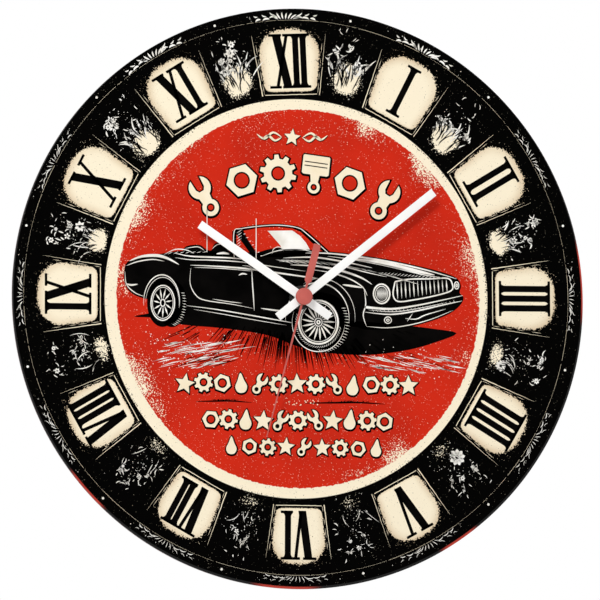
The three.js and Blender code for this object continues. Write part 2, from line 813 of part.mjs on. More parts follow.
function driverChip() {
  const at = { x: circuitLeft + circuitLength - 4, y: (circuitBottom + circuitTop) / 2 };
  return bar(chipRadius, circuitFront + seatGap, circuitFront + chipHeight, at, 16);
}

// Cell and contacts. The strips run along the case walls to the circuit board.
const contactRear = circuitFront + 4 * seatGap;
const contactFront = contactRear + contactWidth;
const cellLeft = -sideInner + contactThickness + 3 * seatGap;

function drycell() {
  const radius = cellDiameter / 2;
  const edge = 0.6;
  return turnedAlongX([
    [0, 0],
    [0, cellNubRadius],
    [cellNubLength, cellNubRadius],
    [cellNubLength, radius - edge],
    [cellNubLength + edge, radius],
    [cellLength - edge, radius],
    [cellLength, radius - edge],
    [cellLength, 0],
  ], { x: cellLeft, y: cellAt.y, z: cellAt.z }, 32);
}

function positiveContact() {
  const left = -sideInner + seatGap;
  const right = left + contactThickness;
  const tabBottom = circuitBottom + 1;
  return join(
    block(left, right, cellAt.y - 4, tabBottom + contactThickness, contactRear, contactFront),
    block(left, circuitLeft + 3, tabBottom, tabBottom + contactThickness, contactRear,
      contactFront),
  );
}

function negativeContact() {
  const right = sideInner - seatGap;
  const left = right - contactThickness;
  const top = topInner - seatGap;
  return join(
    block(left, right, cellAt.y - 5, top, contactRear, contactFront),
    block(circuitLeft + circuitLength - 5, right, top - contactThickness, top, contactRear,
      contactFront),
  );
}

// A helix along x whose radius grows towards the contact.
class SpringCurve extends THREE.Curve {
  getPoint(t, target = new THREE.Vector3()) {
    const angle = 2 * Math.PI * springTurns * t;
    const radius = THREE.MathUtils.lerp(springSmallRadius, springLargeRadius, t);
    const start = cellLeft + cellLength + springWireRadius + seatGap;
    const reach = sideInner - contactThickness - 2 * seatGap - springWireRadius - start;
    return target.set(
      start + Math.min(reach, springReach) * t,
      cellAt.y + radius * Math.cos(angle),
      cellAt.z + radius * Math.sin(angle),
    );
  }
}

function negativeSpring() {
  const geometry = new THREE.ExtrudeGeometry(circle(springWireRadius), {
    steps: 40,
    curveSegments: 3,
    extrudePath: new SpringCurve(),
  });
  return solidOf(geometry);
}

// Hands, drawn pointing to twelve and turned to the time
function baton(length, tail, width, eye, hole, rear, front) {
  const strip = block(-width / 2, width / 2, -tail, length, rear, front);
  const disc = bar(eye, rear, front);
  return cut(join(strip, disc), bar(hole, rear - 1, front + 1));
}

function secondHand() {
  const shoulder = 1.5; // length over which the tail widens
  const needle = new THREE.Shape([
    [-needleRootWidth / 2, -counterweightStart],
    [-counterweightWidth / 2, -counterweightStart - shoulder],
    [-counterweightWidth / 2, -secondHandTail],
    [counterweightWidth / 2, -secondHandTail],
    [counterweightWidth / 2, -counterweightStart - shoulder],
    [needleRootWidth / 2, -counterweightStart],
    [needleTipWidth / 2, secondHandLength],
    [-needleTipWidth / 2, secondHandLength],
  ].map(([x, y]) => new THREE.Vector2(x, y)));
  const collet = bar(secondsArborRadius + colletReach, secondHandRear - colletReach,
    secondHandFront);
  const eye = bar(secondHandEye, secondHandRear, secondHandFront);
  const body = join(slab(needle, secondHandRear, secondHandFront), collet, eye);
  return cut(body, bar(secondsArborRadius + seatGap, 0, secondHandFront + 1, centreAt, 12));
}

function secondHandCap() {
  const rear = secondHandFront + seatGap;
  const front = rear + capHeight;
  const domeHeight = 0.6;
  const crown = { inset: 0.35, drop: 0.15 };
  const geometry = new THREE.LatheGeometry([
    [0, rear],
    [capRadius, rear],
    [capRadius, front - domeHeight],
    [capRadius - crown.inset, front - crown.drop],
    [0, front],
  ].map(([x, y]) => new THREE.Vector2(x, y)), 36);
  geometry.rotateX(Math.PI / 2);
  return solidOf(geometry);
}

const clockwise = (turns) => -2 * Math.PI * turns;
const minutesShown = shownTime.minutes + shownTime.seconds / 60;
const hourTurn = clockwise((shownTime.hours + minutesShown / 60) / 12);
const minuteTurn = clockwise(minutesShown / 60);
const secondTurn = clockwise(shownTime.seconds / 60);

// ---------------------------------------------------------------- assembly

piece('dial_board', board(), redBoard);
piece('dial_print', face(), blackPrint);

piece('rear_cover', rearCover(), blackPlastic);
piece('front_case', frontCase(), blackPlastic);
piece('middle_plate', middlePlate(), whitePlastic);
piece('hanger_plate', hanger(), steel);
piece('threaded_bushing', bushing(), brass);
piece('rubber_gasket', tube(gasketOuterRadius, bushingOuter + runGap, gasketRear, gasketFront),
  rubber);
piece('flat_washer', tube(washerOuterRadius, bushingOuter + seatGap, washerRear, washerFront),
  blackMetal);
piece('mounting_nut', nut(), blackMetal);

piece('dry_cell', drycell(), cellSkin);
piece('positive_contact', positiveContact(), steel);
piece('negative_contact', negativeContact(), steel);
piece('negative_spring', negativeSpring(), steel);
piece('circuit_board', circuitBoard(), greenBoard);
piece('quartz_crystal', quartzCrystal(), steel);
piece('driver_chip', driverChip(), blackPlastic);

piece('stator_plate', stator(), steel);
piece('coil_core', coilCore(), steel);
piece('coil_bobbin', coilBobbin(), whitePlastic);
piece('coil_winding', coilWinding(), copper);
piece('rotor_magnet', rotorMagnet(), magnet);
piece('rotor_pinion', rotorPinion(), whitePlastic);

piece('fifth_wheel', fifthWheel(), whitePlastic);
piece('seconds_wheel', secondsWheel(), whitePlastic);
piece('seconds_arbor', bar(secondsArborRadius, pivotRear, secondHandFront + seatGap / 2,
  centreAt, 12), steel);
piece('third_wheel', thirdWheel(), whitePlastic);
piece('centre_wheel', centreWheel(), whitePlastic);
piece('minute_pipe', minutePipe(), brass);
piece('minute_wheel', minuteWheel(), whitePlastic);
piece('hour_wheel', hourWheel(), whitePlastic);
piece('setting_wheel', settingWheel(), whitePlastic);
piece('setting_knob', settingKnob(), whitePlastic);

piece('hour_hand', baton(hourHandLength, hourHandTail, handWidth, hourHandEye,
  hourTubeOuter + seatGap, hourHandRear, hourHandFront), whiteHand, hourTurn);
piece('minute_hand', baton(minuteHandLength, minuteHandTail, handWidth, minuteHandEye,
  minutePipeOuter + seatGap, minuteHandRear, minuteHandFront), whiteHand, minuteTurn);
piece('second_hand', secondHand(), redHand, secondTurn);
piece('second_hand_cap', secondHandCap(), redHand, secondTurn);

const clock = new THREE.Group();
clock.add(...pieces);
clock.rotation.x = Math.PI / 2;

export default clock;
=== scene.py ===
# %% [markdown]
# # A printed garage clock with a quartz movement
#
# The frame holds the clock as it works: board, movement, gears and hands. This notebook
# gives it its looks. The dial is a print, so most of the lesson is about drawing with thin
# layers of ink, the way a screen printer builds a picture, and about materials that stipple
# and wear the ink along its edges.

# %% Load the frame
import json
import math
import random

import bpy
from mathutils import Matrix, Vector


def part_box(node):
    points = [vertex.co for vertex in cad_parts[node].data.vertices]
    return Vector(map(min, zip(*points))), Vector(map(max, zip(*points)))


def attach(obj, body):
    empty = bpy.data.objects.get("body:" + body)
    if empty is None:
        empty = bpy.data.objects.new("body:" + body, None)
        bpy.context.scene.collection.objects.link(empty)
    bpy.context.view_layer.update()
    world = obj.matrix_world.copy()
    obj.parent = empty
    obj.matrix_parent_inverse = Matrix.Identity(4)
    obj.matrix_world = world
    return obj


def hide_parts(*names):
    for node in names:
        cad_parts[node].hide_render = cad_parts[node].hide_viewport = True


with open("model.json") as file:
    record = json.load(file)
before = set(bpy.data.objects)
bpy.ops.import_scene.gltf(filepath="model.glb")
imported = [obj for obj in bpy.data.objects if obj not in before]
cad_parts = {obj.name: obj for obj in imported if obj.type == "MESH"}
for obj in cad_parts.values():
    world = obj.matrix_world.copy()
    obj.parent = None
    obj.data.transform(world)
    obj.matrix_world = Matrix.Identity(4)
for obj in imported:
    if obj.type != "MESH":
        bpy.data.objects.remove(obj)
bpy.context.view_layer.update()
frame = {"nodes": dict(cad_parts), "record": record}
nodes = frame["nodes"]
mm = 0.001
bpy.ops.object.select_all(action="DESELECT")
print("nodes in the frame:", len(nodes))

# %% [markdown]
# ## Camera, light and floor
#
# The clock is seen almost square on, from a little to its left, through a long lens, so the
# disc stays close to a circle and a sliver of its edge shows. A large soft lamp up to the
# left throws the hands' soft shadows down to the right. The world is white for the camera
# and dimmer for the lamps' work, so pale ink keeps its tone.

# %% Camera
view_turn = math.radians(-11.6)
view_rise = math.radians(-4.5)
view_distance = 3.0
view_lens = 349.2
aim_drop = 0.00104
board_low, board_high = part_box("dial_board")
board_centre = [(low + high) / 2 for low, high in zip(board_low, board_high)]

camera_data = bpy.data.cameras.new("camera")
camera_data.lens = view_lens
camera_data.sensor_width = 36
camera = bpy.data.objects.new("camera", camera_data)
bpy.context.scene.collection.objects.link(camera)
camera.location = (
    board_centre[0] + view_distance * math.cos(view_rise) * math.sin(view_turn),
    board_centre[1] - view_distance * math.cos(view_rise) * math.cos(view_turn),
    board_centre[2] + view_distance * math.sin(view_rise) - aim_drop,
)
camera.rotation_euler = (math.radians(90) - view_rise, 0, view_turn)
bpy.context.scene.camera = camera
print("camera", tuple(round(value, 3) for value in camera.location))

# %% Lamps, world and floor


def area_lamp(name, place, size, power):
    data = bpy.data.lights.new(name, "AREA")
    data.shape = "DISK"
    data.size = size
    data.energy = power
    lamp = bpy.data.objects.new(name, data)
    bpy.context.scene.collection.objects.link(lamp)
    lamp.location = place
    toward = -lamp.location.normalized()
    lamp.rotation_euler = toward.to_track_quat("-Z", "Y").to_euler()


area_lamp("key_lamp", (-0.72, -1.30, 1.0), 0.42, 17)
area_lamp("fill_lamp", (1.1, -1.3, 0.1), 1.2, 2.0)
area_lamp("rear_lamp", (0.6, 1.4, 0.9), 1.0, 9)

ambient = 0.56
world = bpy.data.worlds.new("studio")
bpy.context.scene.world = world
world.use_nodes = True
world_tree = world.node_tree
world_tree.nodes.clear()
world_out = world_tree.nodes.new("ShaderNodeOutputWorld")
sky = world_tree.nodes.new("ShaderNodeBackground")
sky.inputs["Color"].default_value = (1, 1, 1, 1)
seen = world_tree.nodes.new("ShaderNodeLightPath")
strength = world_tree.nodes.new("ShaderNodeMapRange")
strength.inputs["To Min"].default_value = ambient
strength.inputs["To Max"].default_value = 1.0
world_tree.links.new(seen.outputs["Is Camera Ray"], strength.inputs["Value"])
world_tree.links.new(strength.outputs["Result"], sky.inputs["Strength"])
world_tree.links.new(sky.outputs["Background"], world_out.inputs["Surface"])
bpy.context.scene.view_settings.view_transform = "Standard"

floor_height = -0.6
bpy.ops.mesh.primitive_plane_add(size=8, location=(0, 0, floor_height))
floor = bpy.context.object
floor.name = "studio_floor"
floor_paint = bpy.data.materials.new("floor_paint")
floor_paint.use_nodes = True
floor_shader = floor_paint.node_tree.nodes["Principled BSDF"]
floor_shader.inputs["Base Color"].default_value = (0.86, 0.86, 0.85, 1)
floor_shader.inputs["Roughness"].default_value = 0.9
floor.data.materials.append(floor_paint)
print("floor at", floor_height)

# %% [markdown]
# ## Shader helpers
#
# A material is a small machine of nodes. A few short helpers place a node and join it up,
# so the recipes further on read as a list of steps.

# %% Node helpers


def feed(tree, node, inputs):
    """Feeds a node; inputs maps a socket's name or number to a value or to an output."""
    for key, value in inputs.items():
        if isinstance(value, bpy.types.NodeSocket):
            tree.links.new(value, node.inputs[key])
        else:
            node.inputs[key].default_value = value


def add_node(tree, kind, inputs=None, **settings):
    """Adds a node with its settings and feeds it."""
    made = tree.nodes.new(kind)
    for key, value in settings.items():
        setattr(made, key, value)
    feed(tree, made, inputs or {})
    return made


def maths(tree, operation, first, second=0.0, third=0.0, clamp=False):
    made = add_node(tree, "ShaderNodeMath", {0: first, 1: second, 2: third},
                    operation=operation, use_clamp=clamp)
    return made.outputs[0]


def ramp(tree, value, low, high, low_out=0.0, high_out=1.0):
    """Maps low..high smoothly on low_out..high_out."""
    made = add_node(tree, "ShaderNodeMapRange", {
        "Value": value, "From Min": low, "From Max": high,
        "To Min": low_out, "To Max": high_out,
    }, interpolation_type="SMOOTHSTEP")
    return made.outputs["Result"]


def times(tree, first, second):
    return maths(tree, "MULTIPLY", first, second)


def split(tree, vector):
    return add_node(tree, "ShaderNodeSeparateXYZ", {0: vector}).outputs


def bump(tree, height, strength, depth):
    """A relief; depth is in millimetres."""
    return add_node(tree, "ShaderNodeBump", {
        "Height": height, "Strength": strength, "Distance": depth * mm}).outputs[0]


def mix_colour(tree, amount, first, second):
    """Mixes two colours, each of them three numbers or a node's output."""
    inputs = {0: amount}
    for key, colour in ((6, first), (7, second)):
        inputs[key] = (*colour, 1) if isinstance(colour, tuple) else colour
    return add_node(tree, "ShaderNodeMix", inputs, data_type="RGBA").outputs[2]


def new_material(name, colour, roughness, metallic=0.0, specular=0.5):
    """A Principled material; returns it with its tree and its shader node."""
    material = bpy.data.materials.new(name)
    material.use_nodes = True
    material.diffuse_color = (*colour, 1)
    tree = material.node_tree
    shader = tree.nodes["Principled BSDF"]
    shader.inputs["Base Color"].default_value = (*colour, 1)
    shader.inputs["Roughness"].default_value = roughness
    shader.inputs["Metallic"].default_value = metallic
    shader.inputs["Specular IOR Level"].default_value = specular
    return material, tree, shader


def object_place(tree):
    return tree.nodes.new("ShaderNodeTexCoord").outputs["Object"]


print("shader helpers ready")

# %% [markdown]
# ## Effects that several finishes share
#
# Three effects come back on this clock. Stipple is the engraver's way from black to pale: a
# fine noise cut off at a level that rises and falls. Mottle is the slow unevenness of ink,
# paint and plastic. Dial place turns a point into its distance from the dial's centre. Each
# is a node group, built once.

# %% Shared node groups


def new_group(name, inputs, outputs):
    group = bpy.data.node_groups.new(name, "ShaderNodeTree")
    for label, kind in inputs:
        group.interface.new_socket(label, in_out="INPUT", socket_type=kind)
    for label, kind in outputs:
        group.interface.new_socket(label, in_out="OUTPUT", socket_type=kind)
    start = group.nodes.new("NodeGroupInput")
    end = group.nodes.new("NodeGroupOutput")
    return group, start.outputs, end.inputs


FLOAT = "NodeSocketFloat"
VECTOR = "NodeSocketVector"

stipple, taken, given = new_group(
    "stipple", [("Place", VECTOR), ("Amount", FLOAT), ("Fineness", FLOAT)], [("Mask", FLOAT)])
noise = add_node(stipple, "ShaderNodeTexNoise", {
    "Vector": taken["Place"], "Scale": taken["Fineness"], "Detail": 1.0, "Roughness": 0.4})
level = ramp(stipple, taken["Amount"], 0.0, 1.0, 0.74, 0.24)
over = maths(stipple, "SUBTRACT", noise.outputs[0], level)
stipple.links.new(maths(stipple, "MULTIPLY", over, 40.0, clamp=True), given["Mask"])

mottle, taken, given = new_group(
    "mottle", [("Place", VECTOR), ("Scale", FLOAT)], [("Value", FLOAT), ("Fine", FLOAT)])
slow = add_node(mottle, "ShaderNodeTexNoise", {
    "Vector": taken["Place"], "Scale": taken["Scale"], "Detail": 3.0})
quick_scale = times(mottle, taken["Scale"], 24.0)
fine = add_node(mottle, "ShaderNodeTexNoise", {
    "Vector": taken["Place"], "Scale": quick_scale, "Detail": 2.0})
mottle.links.new(slow.outputs[0], given["Value"])
mottle.links.new(fine.outputs[0], given["Fine"])

dial_place, taken, given = new_group("dial_place", [("Place", VECTOR)], [("Radius", FLOAT)])
axes = split(dial_place, taken["Place"])
flat = add_node(dial_place, "ShaderNodeCombineXYZ", {0: axes[0], 2: axes[2]})
radius = add_node(dial_place, "ShaderNodeVectorMath", {0: flat.outputs[0]}, operation="LENGTH")
dial_place.links.new(radius.outputs["Value"], given["Radius"])


fine_dots = 1900.0


def use_group(tree, group, inputs):
    return add_node(tree, "ShaderNodeGroup", inputs, node_tree=group).outputs


def mottled(tree, place, scale):
    return use_group(tree, mottle, {"Place": place, "Scale": scale})


def stippled(tree, place, amount, fineness=fine_dots):
    """The mask of the stipple's dots."""
    return use_group(tree, stipple, {
        "Place": place, "Amount": amount, "Fineness": fineness})["Mask"]


print("groups:", [group.name for group in (stipple, mottle, dial_place)])

# %% [markdown]
# ## The print
#
# The face is a black satin sheet with a red field in its middle and a cream ring round it.
# All of it is flat colour, so it belongs in the material: the distance from the centre picks
# the ink, a little noise makes the inks' borders ragged, and stipple scatters cream into the
# red near the ring and lifts a pale glow out of the black between the numerals.

# %% Dial layout in millimetres
face_low, face_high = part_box("dial_print")
face_centre = ((face_low[0] + face_high[0]) / 2, (face_low[2] + face_high[2]) / 2)
face_front = face_low[1]
face_radius = (face_high[0] - face_low[0]) / 2

# The print sits on its sheet like a real one: a little narrow, and its red field and cream
# ring are not quite in the middle. The shifts are right, back and up.
art_squash = 0.975
field_edge = 97.7
field_shift = (-0.6, 0, -0.9)
ring_edge = 103.1
ring_shift = (-1.6, 0, -0.9)
rim_line = 144.6
cartouche_foot = 107.4
cartouche_top = 140.4
cartouche_slope = 0.131
divider_slope = 0.146
numeral_radius = 123.4

# Twelve values each, from twelve o'clock on: how far an hour is turned from its even place,
# in degrees; how far it lies outwards; the size of its cartouche; the height of its numeral;
# and the width of the numeral's letters.
hour_drift = (-2.7, -2.5, -0.7, -0.4, 0.6, 1.7, 0.4, -1.1, 0.1, -0.2, -2.1, -1.8)
hour_shift = (-1.2, -2.0, -2.8, -1.5, -0.4, 0.7, -0.5, 0.7, 0.7, 0.8, 0, -0.3)
hour_scale = (1, 1.02, 1.02, 1, 0.97, 0.92, 0.88, 0.92, 0.96, 0.98, 1, 1)
hour_cap = (28.3, 27.6, 27.7, 28.1, 27, 26, 25.2, 25.1, 25, 24.8, 26.4, 26)
hour_stretch = (0.85, 1, 1.25, 1.05, 1, 1.05, 0.95, 0.8, 0.92, 1, 1.1, 0.95)
hour_turns = [30 * i + drift for i, drift in enumerate(hour_drift)]
gap_turns = [(turn + after) / 2 for turn, after in zip(hour_turns, hour_turns[1:] + [358])]
print("face radius in mm:", round(face_radius / mm, 1))

# %% Inks
BLACK = (0.0007, 0.0006, 0.0005)
CREAM = (0.90, 0.80, 0.605)
TAN = (0.62, 0.47, 0.30)
RED = (0.60, 0.024, 0.009)
DEEP_RED = (0.49, 0.019, 0.008)
WHITE = (0.95, 0.93, 0.88)
ink_specular = 0.012
fray_start = 72.0


def dial_vector(tree):
    """Object coordinates with the dial's centre as their origin, in the art's own width."""
    return add_node(tree, "ShaderNodeMapping", {
        "Vector": object_place(tree),
        "Location": (-face_centre[0] / art_squash, 0, -face_centre[1]),
        "Scale": (1 / art_squash, 1, 1),
    }).outputs[0]


def distance_from(tree, place, shift):
    """The distance from a point that lies beside the dial's centre by a shift in mm."""
    moved = add_node(tree, "ShaderNodeVectorMath", {
        0: place, 1: tuple(value * mm for value in shift)}, operation="SUBTRACT")
    return use_group(tree, dial_place, {"Place": moved.outputs[0]})["Radius"]


print_ink, tree, shader = new_material("print_ink", BLACK, 0.5, specular=ink_specular)
place = dial_vector(tree)
patches = mottled(tree, place, 26.0)
wobble = maths(tree, "MULTIPLY_ADD", patches["Fine"], 1.6 * mm, -0.8 * mm)
field_radius = distance_from(tree, place, field_shift)
ring_radius = distance_from(tree, place, ring_shift)
ragged = maths(tree, "ADD", field_radius, wobble)

red_tone = mix_colour(tree, ramp(tree, patches["Value"], 0.3, 0.75), RED, DEEP_RED)
patchy = ramp(tree, patches["Value"], 0.46, 0.66)
near_ring = ramp(tree, field_radius, fray_start * mm, (field_edge + 1.5) * mm)
fray = times(tree, maths(tree, "POWER", near_ring, 2.2),
             maths(tree, "MULTIPLY_ADD", patchy, 0.56, 0.08))
red_field = mix_colour(tree, stippled(tree, place, fray), red_tone, CREAM)

out_of_field = ramp(tree, ragged, field_edge * mm, (field_edge + 0.3) * mm)
edge_dust = times(tree, ramp(tree, patches["Value"], 0.35, 0.65, 0.2, 1.0),
                  ramp(tree, ring_radius, (ring_edge - 3) * mm, ring_edge * mm, 0.0, 0.42))
dusted = mix_colour(tree, stippled(tree, place, edge_dust), CREAM, BLACK)
field_and_ring = mix_colour(tree, out_of_field, red_field, dusted)

worn = stippled(tree, place, ramp(tree, patches["Value"], 0.55, 0.85, 0.0, 0.12), 1600.0)
black_band = mix_colour(tree, times(tree, worn, 0.35), BLACK, CREAM)

out_of_ring = ramp(tree, ring_radius, ring_edge * mm, (ring_edge + 0.2) * mm)
feed(tree, shader, {
    "Base Color": mix_colour(tree, out_of_ring, field_and_ring, black_band),
    "Roughness": ramp(tree, patches["Value"], 0.3, 0.7, 0.42, 0.56),
    "Normal": bump(tree, patches["Fine"], 0.15, 0.05)})
print("print ink has", len(tree.nodes), "nodes")

# %% [markdown]
# ## Board and face
#
# The board is a disc of hardboard: brown fibre with the print of its press screen on the
# back, and an edge sealed in red, with some of the face's black rolled over it. The frame's
# disc is a coarse polygon. So the board and the face start here as cylinders with many more
# sides, get their centre hole from a boolean, and a small bevel takes the sharpness off.

# %% Helpers that model a disc


def select_only(obj):
    bpy.ops.object.select_all(action="DESELECT")
    obj.select_set(True)
    bpy.context.view_layer.objects.active = obj


def apply_modifier(obj, kind, **settings):
    """Applies a modifier, and leaves the object selected and active."""
    select_only(obj)
    modifier = obj.modifiers.new("step", kind)
    for key, value in settings.items():
        setattr(modifier, key, value)
    bpy.ops.object.modifier_apply(modifier=modifier.name)


def upright_cylinder(name, outer, rear, front, centre, sides):
    """A cylinder along Y, from y = rear to y = front (front is nearer to the viewer)."""
    bpy.ops.mesh.primitive_cylinder_add(
        vertices=sides, radius=outer, depth=rear - front,
        location=(centre[0], (rear + front) / 2, centre[1]),
        rotation=(math.radians(90), 0, 0))
    made = bpy.context.object
    made.name = name
    bpy.ops.object.transform_apply(location=True, rotation=True, scale=True)
    return made


def cut_away(obj, cutter):
    """Cuts the cutter's shape out of the object, and removes the cutter."""
    apply_modifier(obj, "BOOLEAN", operation="DIFFERENCE", object=cutter, solver="EXACT")
    bpy.data.objects.remove(cutter)


def drill(obj, radius):
    """Drills the clock's centre hole; the drill reaches far beyond both faces."""
    cut_away(obj, upright_cylinder("cutter", radius, 0.05, -0.06, (0, 0), 64))


def soften(obj, width, segments=2, bevel_angle=35, smooth_angle=35):
    """Bevels the edges sharper than one angle, and shades smooth below the other."""
    apply_modifier(obj, "BEVEL", width=width, segments=segments, limit_method="ANGLE",
                   angle_limit=math.radians(bevel_angle))
    bpy.ops.object.shade_smooth_by_angle(angle=math.radians(smooth_angle))


def finish_piece(obj, material, body, slot_name, *replaced):
    """Gives the piece its material and its body, and hides the nodes that it stands for;
    slot_name is not used.
    """
    obj.data.materials.clear()
    obj.data.materials.append(material)
    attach(obj, body)
    if replaced:
        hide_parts(*replaced)


print("disc helpers ready")

# %% Hardboard with a sealed edge
board_radius = (board_high[0] - board_low[0]) / 2
sealed_board, tree, shader = new_material("sealed_board", (0.45, 0.035, 0.018), 0.5,
                                          specular=0.3)
place = object_place(tree)
patches = mottled(tree, place, 36.0)
axes = split(tree, place)
from_centre = use_group(tree, dial_place, {"Place": place})["Radius"]

fibre = mix_colour(tree, ramp(tree, patches["Value"], 0.3, 0.7),
                   (0.215, 0.108, 0.050), (0.150, 0.072, 0.034))
specks = stippled(tree, place, 0.30, 1100.0)
fibre = mix_colour(tree, times(tree, specks, 0.55), fibre, (0.33, 0.19, 0.095))
wire_gap = 1.5 * mm
wires = [maths(tree, "ABSOLUTE", maths(tree, "SINE", times(tree, axes[i], math.tau / wire_gap)))
         for i in (0, 2)]
screen = times(tree, *wires)
fibre = mix_colour(tree, times(tree, ramp(tree, screen, 0.0, 0.35), 0.4),
                   (0.085, 0.040, 0.018), fibre)

paint = mix_colour(tree, ramp(tree, patches["Value"], 0.35, 0.7),
                   (0.50, 0.040, 0.022), (0.38, 0.024, 0.014))
overrun = maths(tree, "MULTIPLY_ADD", patches["Fine"], 3.0 * mm, -1.5 * mm)
painted = ramp(tree, maths(tree, "ADD", from_centre, overrun), board_radius - 3.4 * mm,
               board_radius - 2.8 * mm)
flat_place = add_node(tree, "ShaderNodeVectorMath", {0: place, 1: (1, 0, 1)},
                      operation="MULTIPLY").outputs[0]
bare_spots = ((86, 24), (146, 13), (183, 20), (228, 15))  # degrees from twelve, reach in mm
missed = 0.0
for degrees, reach in bare_spots:
    spot = (board_radius * math.sin(math.radians(degrees)), 0,
            board_radius * math.cos(math.radians(degrees)))
    away = add_node(tree, "ShaderNodeVectorMath", {0: flat_place, 1: spot},
                    operation="DISTANCE").outputs["Value"]
    missed = maths(tree, "MAXIMUM", missed, ramp(tree, away, reach * mm, 0.5 * reach * mm))
front_side = ramp(tree, axes[1], board_high[1] - 0.4 * mm, board_high[1] - 0.9 * mm)
dark_roll = times(tree, maths(tree, "SUBTRACT", 1.0, missed), front_side)
edge_tone = mix_colour(tree, dark_roll, paint, BLACK)
tooth_height = maths(tree, "ADD", times(tree, screen, ramp(tree, painted, 1.0, 0.0)),
                     times(tree, patches["Fine"], 0.6))
feed(tree, shader, {
    "Base Color": mix_colour(tree, painted, fibre, edge_tone),
    "Roughness": ramp(tree, painted, 0.0, 1.0, 0.78, 0.45),
    "Normal": bump(tree, tooth_height, 0.5, 0.15)})
print("board radius in mm:", round(board_radius / mm, 1))

# %% Board disc and face sheet
hole_radius = 4.3 * mm
disc_sides = 288

board = upright_cylinder("board_disc", board_radius, board_high[1], board_low[1],
                         (board_centre[0], board_centre[2]), disc_sides)
drill(board, hole_radius)
soften(board, 0.3 * mm)
finish_piece(board, sealed_board, "case", "red_board", "dial_board")

face = upright_cylinder("face_sheet", face_radius, face_high[1], face_front, face_centre,
                        disc_sides)
drill(face, hole_radius)
soften(face, 0.06 * mm, segments=1)
finish_piece(face, print_ink, "case", "printed_face", "dial_print")
print("board", len(board.data.vertices), "face", len(face.data.vertices), "vertices")

# %% [markdown]
# ## Drawing with ink
#
# Numerals, lines and the picture have crisp borders, so they are real layers of ink, a
# twentieth of a millimetre thick, laid over the face in passes. An outline is a single face
# and a pen stroke is a strip of faces whose width follows the pen. Curve objects could do
# this too, but hundreds of crossing strokes would cut holes in each other's fill, so the
# strips are meshes, and the Solidify modifier gives the whole sheet its thickness.

# %% Ink sheets
ink_thickness = 0.05 * mm
ink_step = 0.06 * mm
sheet_gap = 0.01 * mm


def new_sheet():
    return {"points": [], "faces": [], "local": []}


def add_shape(sheet, outline, local=None):
    """A filled outline; local gives each corner's place on its own little field."""
    first = len(sheet["points"])
    sheet["points"].extend(outline)
    sheet["local"].extend(local or [])
    sheet["faces"].append(tuple(range(first, first + len(outline))))


def add_stroke(sheet, path, width, taper="none"):
    """A strip along path; taper is none, both or end."""
    first = len(sheet["points"])
    count = len(path)
    for i, (x, z) in enumerate(path):
        before = path[max(i - 1, 0)]
        after = path[min(i + 1, count - 1)]
        along = (after[0] - before[0], after[1] - before[1])
        length = math.hypot(*along) or 1.0
        t = i / (count - 1)
        if taper == "both":
            swell = 0.12 + 0.88 * math.sin(math.pi * t) ** 0.8
        elif taper == "end":
            swell = 0.12 + 0.88 * (1 - t) ** 0.8
        else:
            swell = 1.0
        side = width * swell / 2 / length
        sheet["points"].append((x - along[1] * side, z + along[0] * side))
        sheet["points"].append((x + along[1] * side, z - along[0] * side))
    for i in range(count - 1):
        a = first + 2 * i
        sheet["faces"].append((a, a + 1, a + 3, a + 2))


def link_mesh(name, mesh):
    piece = bpy.data.objects.new(name, mesh)
    bpy.context.scene.collection.objects.link(piece)
    return piece


def print_sheet(name, sheet, layer, material):
    """Lays the sheet on the face; layer 0 lies on the print, layer 1 on layer 0."""
    rear = face_front - sheet_gap - layer * ink_step
    mesh = bpy.data.meshes.new(name)
    mesh.from_pydata(
        [(face_centre[0] + x * mm * art_squash, rear, face_centre[1] + z * mm)
         for x, z in sheet["points"]], [], sheet["faces"])
    if sheet["local"]:
        field = mesh.uv_layers.new(name="field")
        for corner in mesh.loops:
            field.data[corner.index].uv = sheet["local"][corner.vertex_index]
    piece = link_mesh(name, mesh)
    select_only(piece)
    bpy.ops.object.mode_set(mode="EDIT")
    bpy.ops.mesh.select_all(action="SELECT")
    bpy.ops.mesh.normals_make_consistent(inside=False)
    bpy.ops.object.mode_set(mode="OBJECT")
    for polygon in piece.data.polygons:
        if polygon.normal.y > 0:
            polygon.flip()
    piece.data.update()
    apply_modifier(piece, "SOLIDIFY", thickness=ink_thickness, offset=1.0)
    finish_piece(piece, material, "case", "printed_face")
    print(name, len(piece.data.polygons), "faces")


def smooth(points, steps=5, closed=False):
    """A curve through the points (Catmull-Rom)."""
    count = len(points)
    spans = count if closed else count - 1
    made = []
    for i in range(spans):
        if closed:
            p = [points[(i + k) % count] for k in (-1, 0, 1, 2)]
        else:
            p = [points[min(max(i + k, 0), count - 1)] for k in (-1, 0, 1, 2)]
        for step in range(steps):
            t = step / steps
            made.append(tuple(
                0.5 * (2 * p[1][n] + (p[2][n] - p[0][n]) * t
                       + (2 * p[0][n] - 5 * p[1][n] + 4 * p[2][n] - p[3][n]) * t ** 2
                       + (3 * p[1][n] - p[0][n] - 3 * p[2][n] + p[3][n]) * t ** 3)
                for n in (0, 1)))
    if not closed:
        made.append(points[-1])
    return made


def on_dial(degrees, across, outward):
    """A point beside and along the radius that points to an hour, clockwise from twelve."""
    a = math.radians(degrees)
    return (outward * math.sin(a) + across * math.cos(a),
            outward * math.cos(a) - across * math.sin(a))


def turned(centre, a, wide, high=None):
    """The point at angle a, clockwise from twelve, on a circle or an ellipse."""
    return (centre[0] + wide * math.sin(a),
            centre[1] + (wide if high is None else high) * math.cos(a))


def sweep(start, end, steps):
    """Angles from start to end; both are in degrees, the angles in radians."""
    return [math.radians(start + (end - start) * i / steps) for i in range(steps + 1)]


def ellipse(centre, wide, high, steps=24):
    angles = [math.tau * i / steps for i in range(steps)]
    return [(centre[0] + wide * math.cos(a), centre[1] + high * math.sin(a)) for a in angles]


print("ink helpers ready")

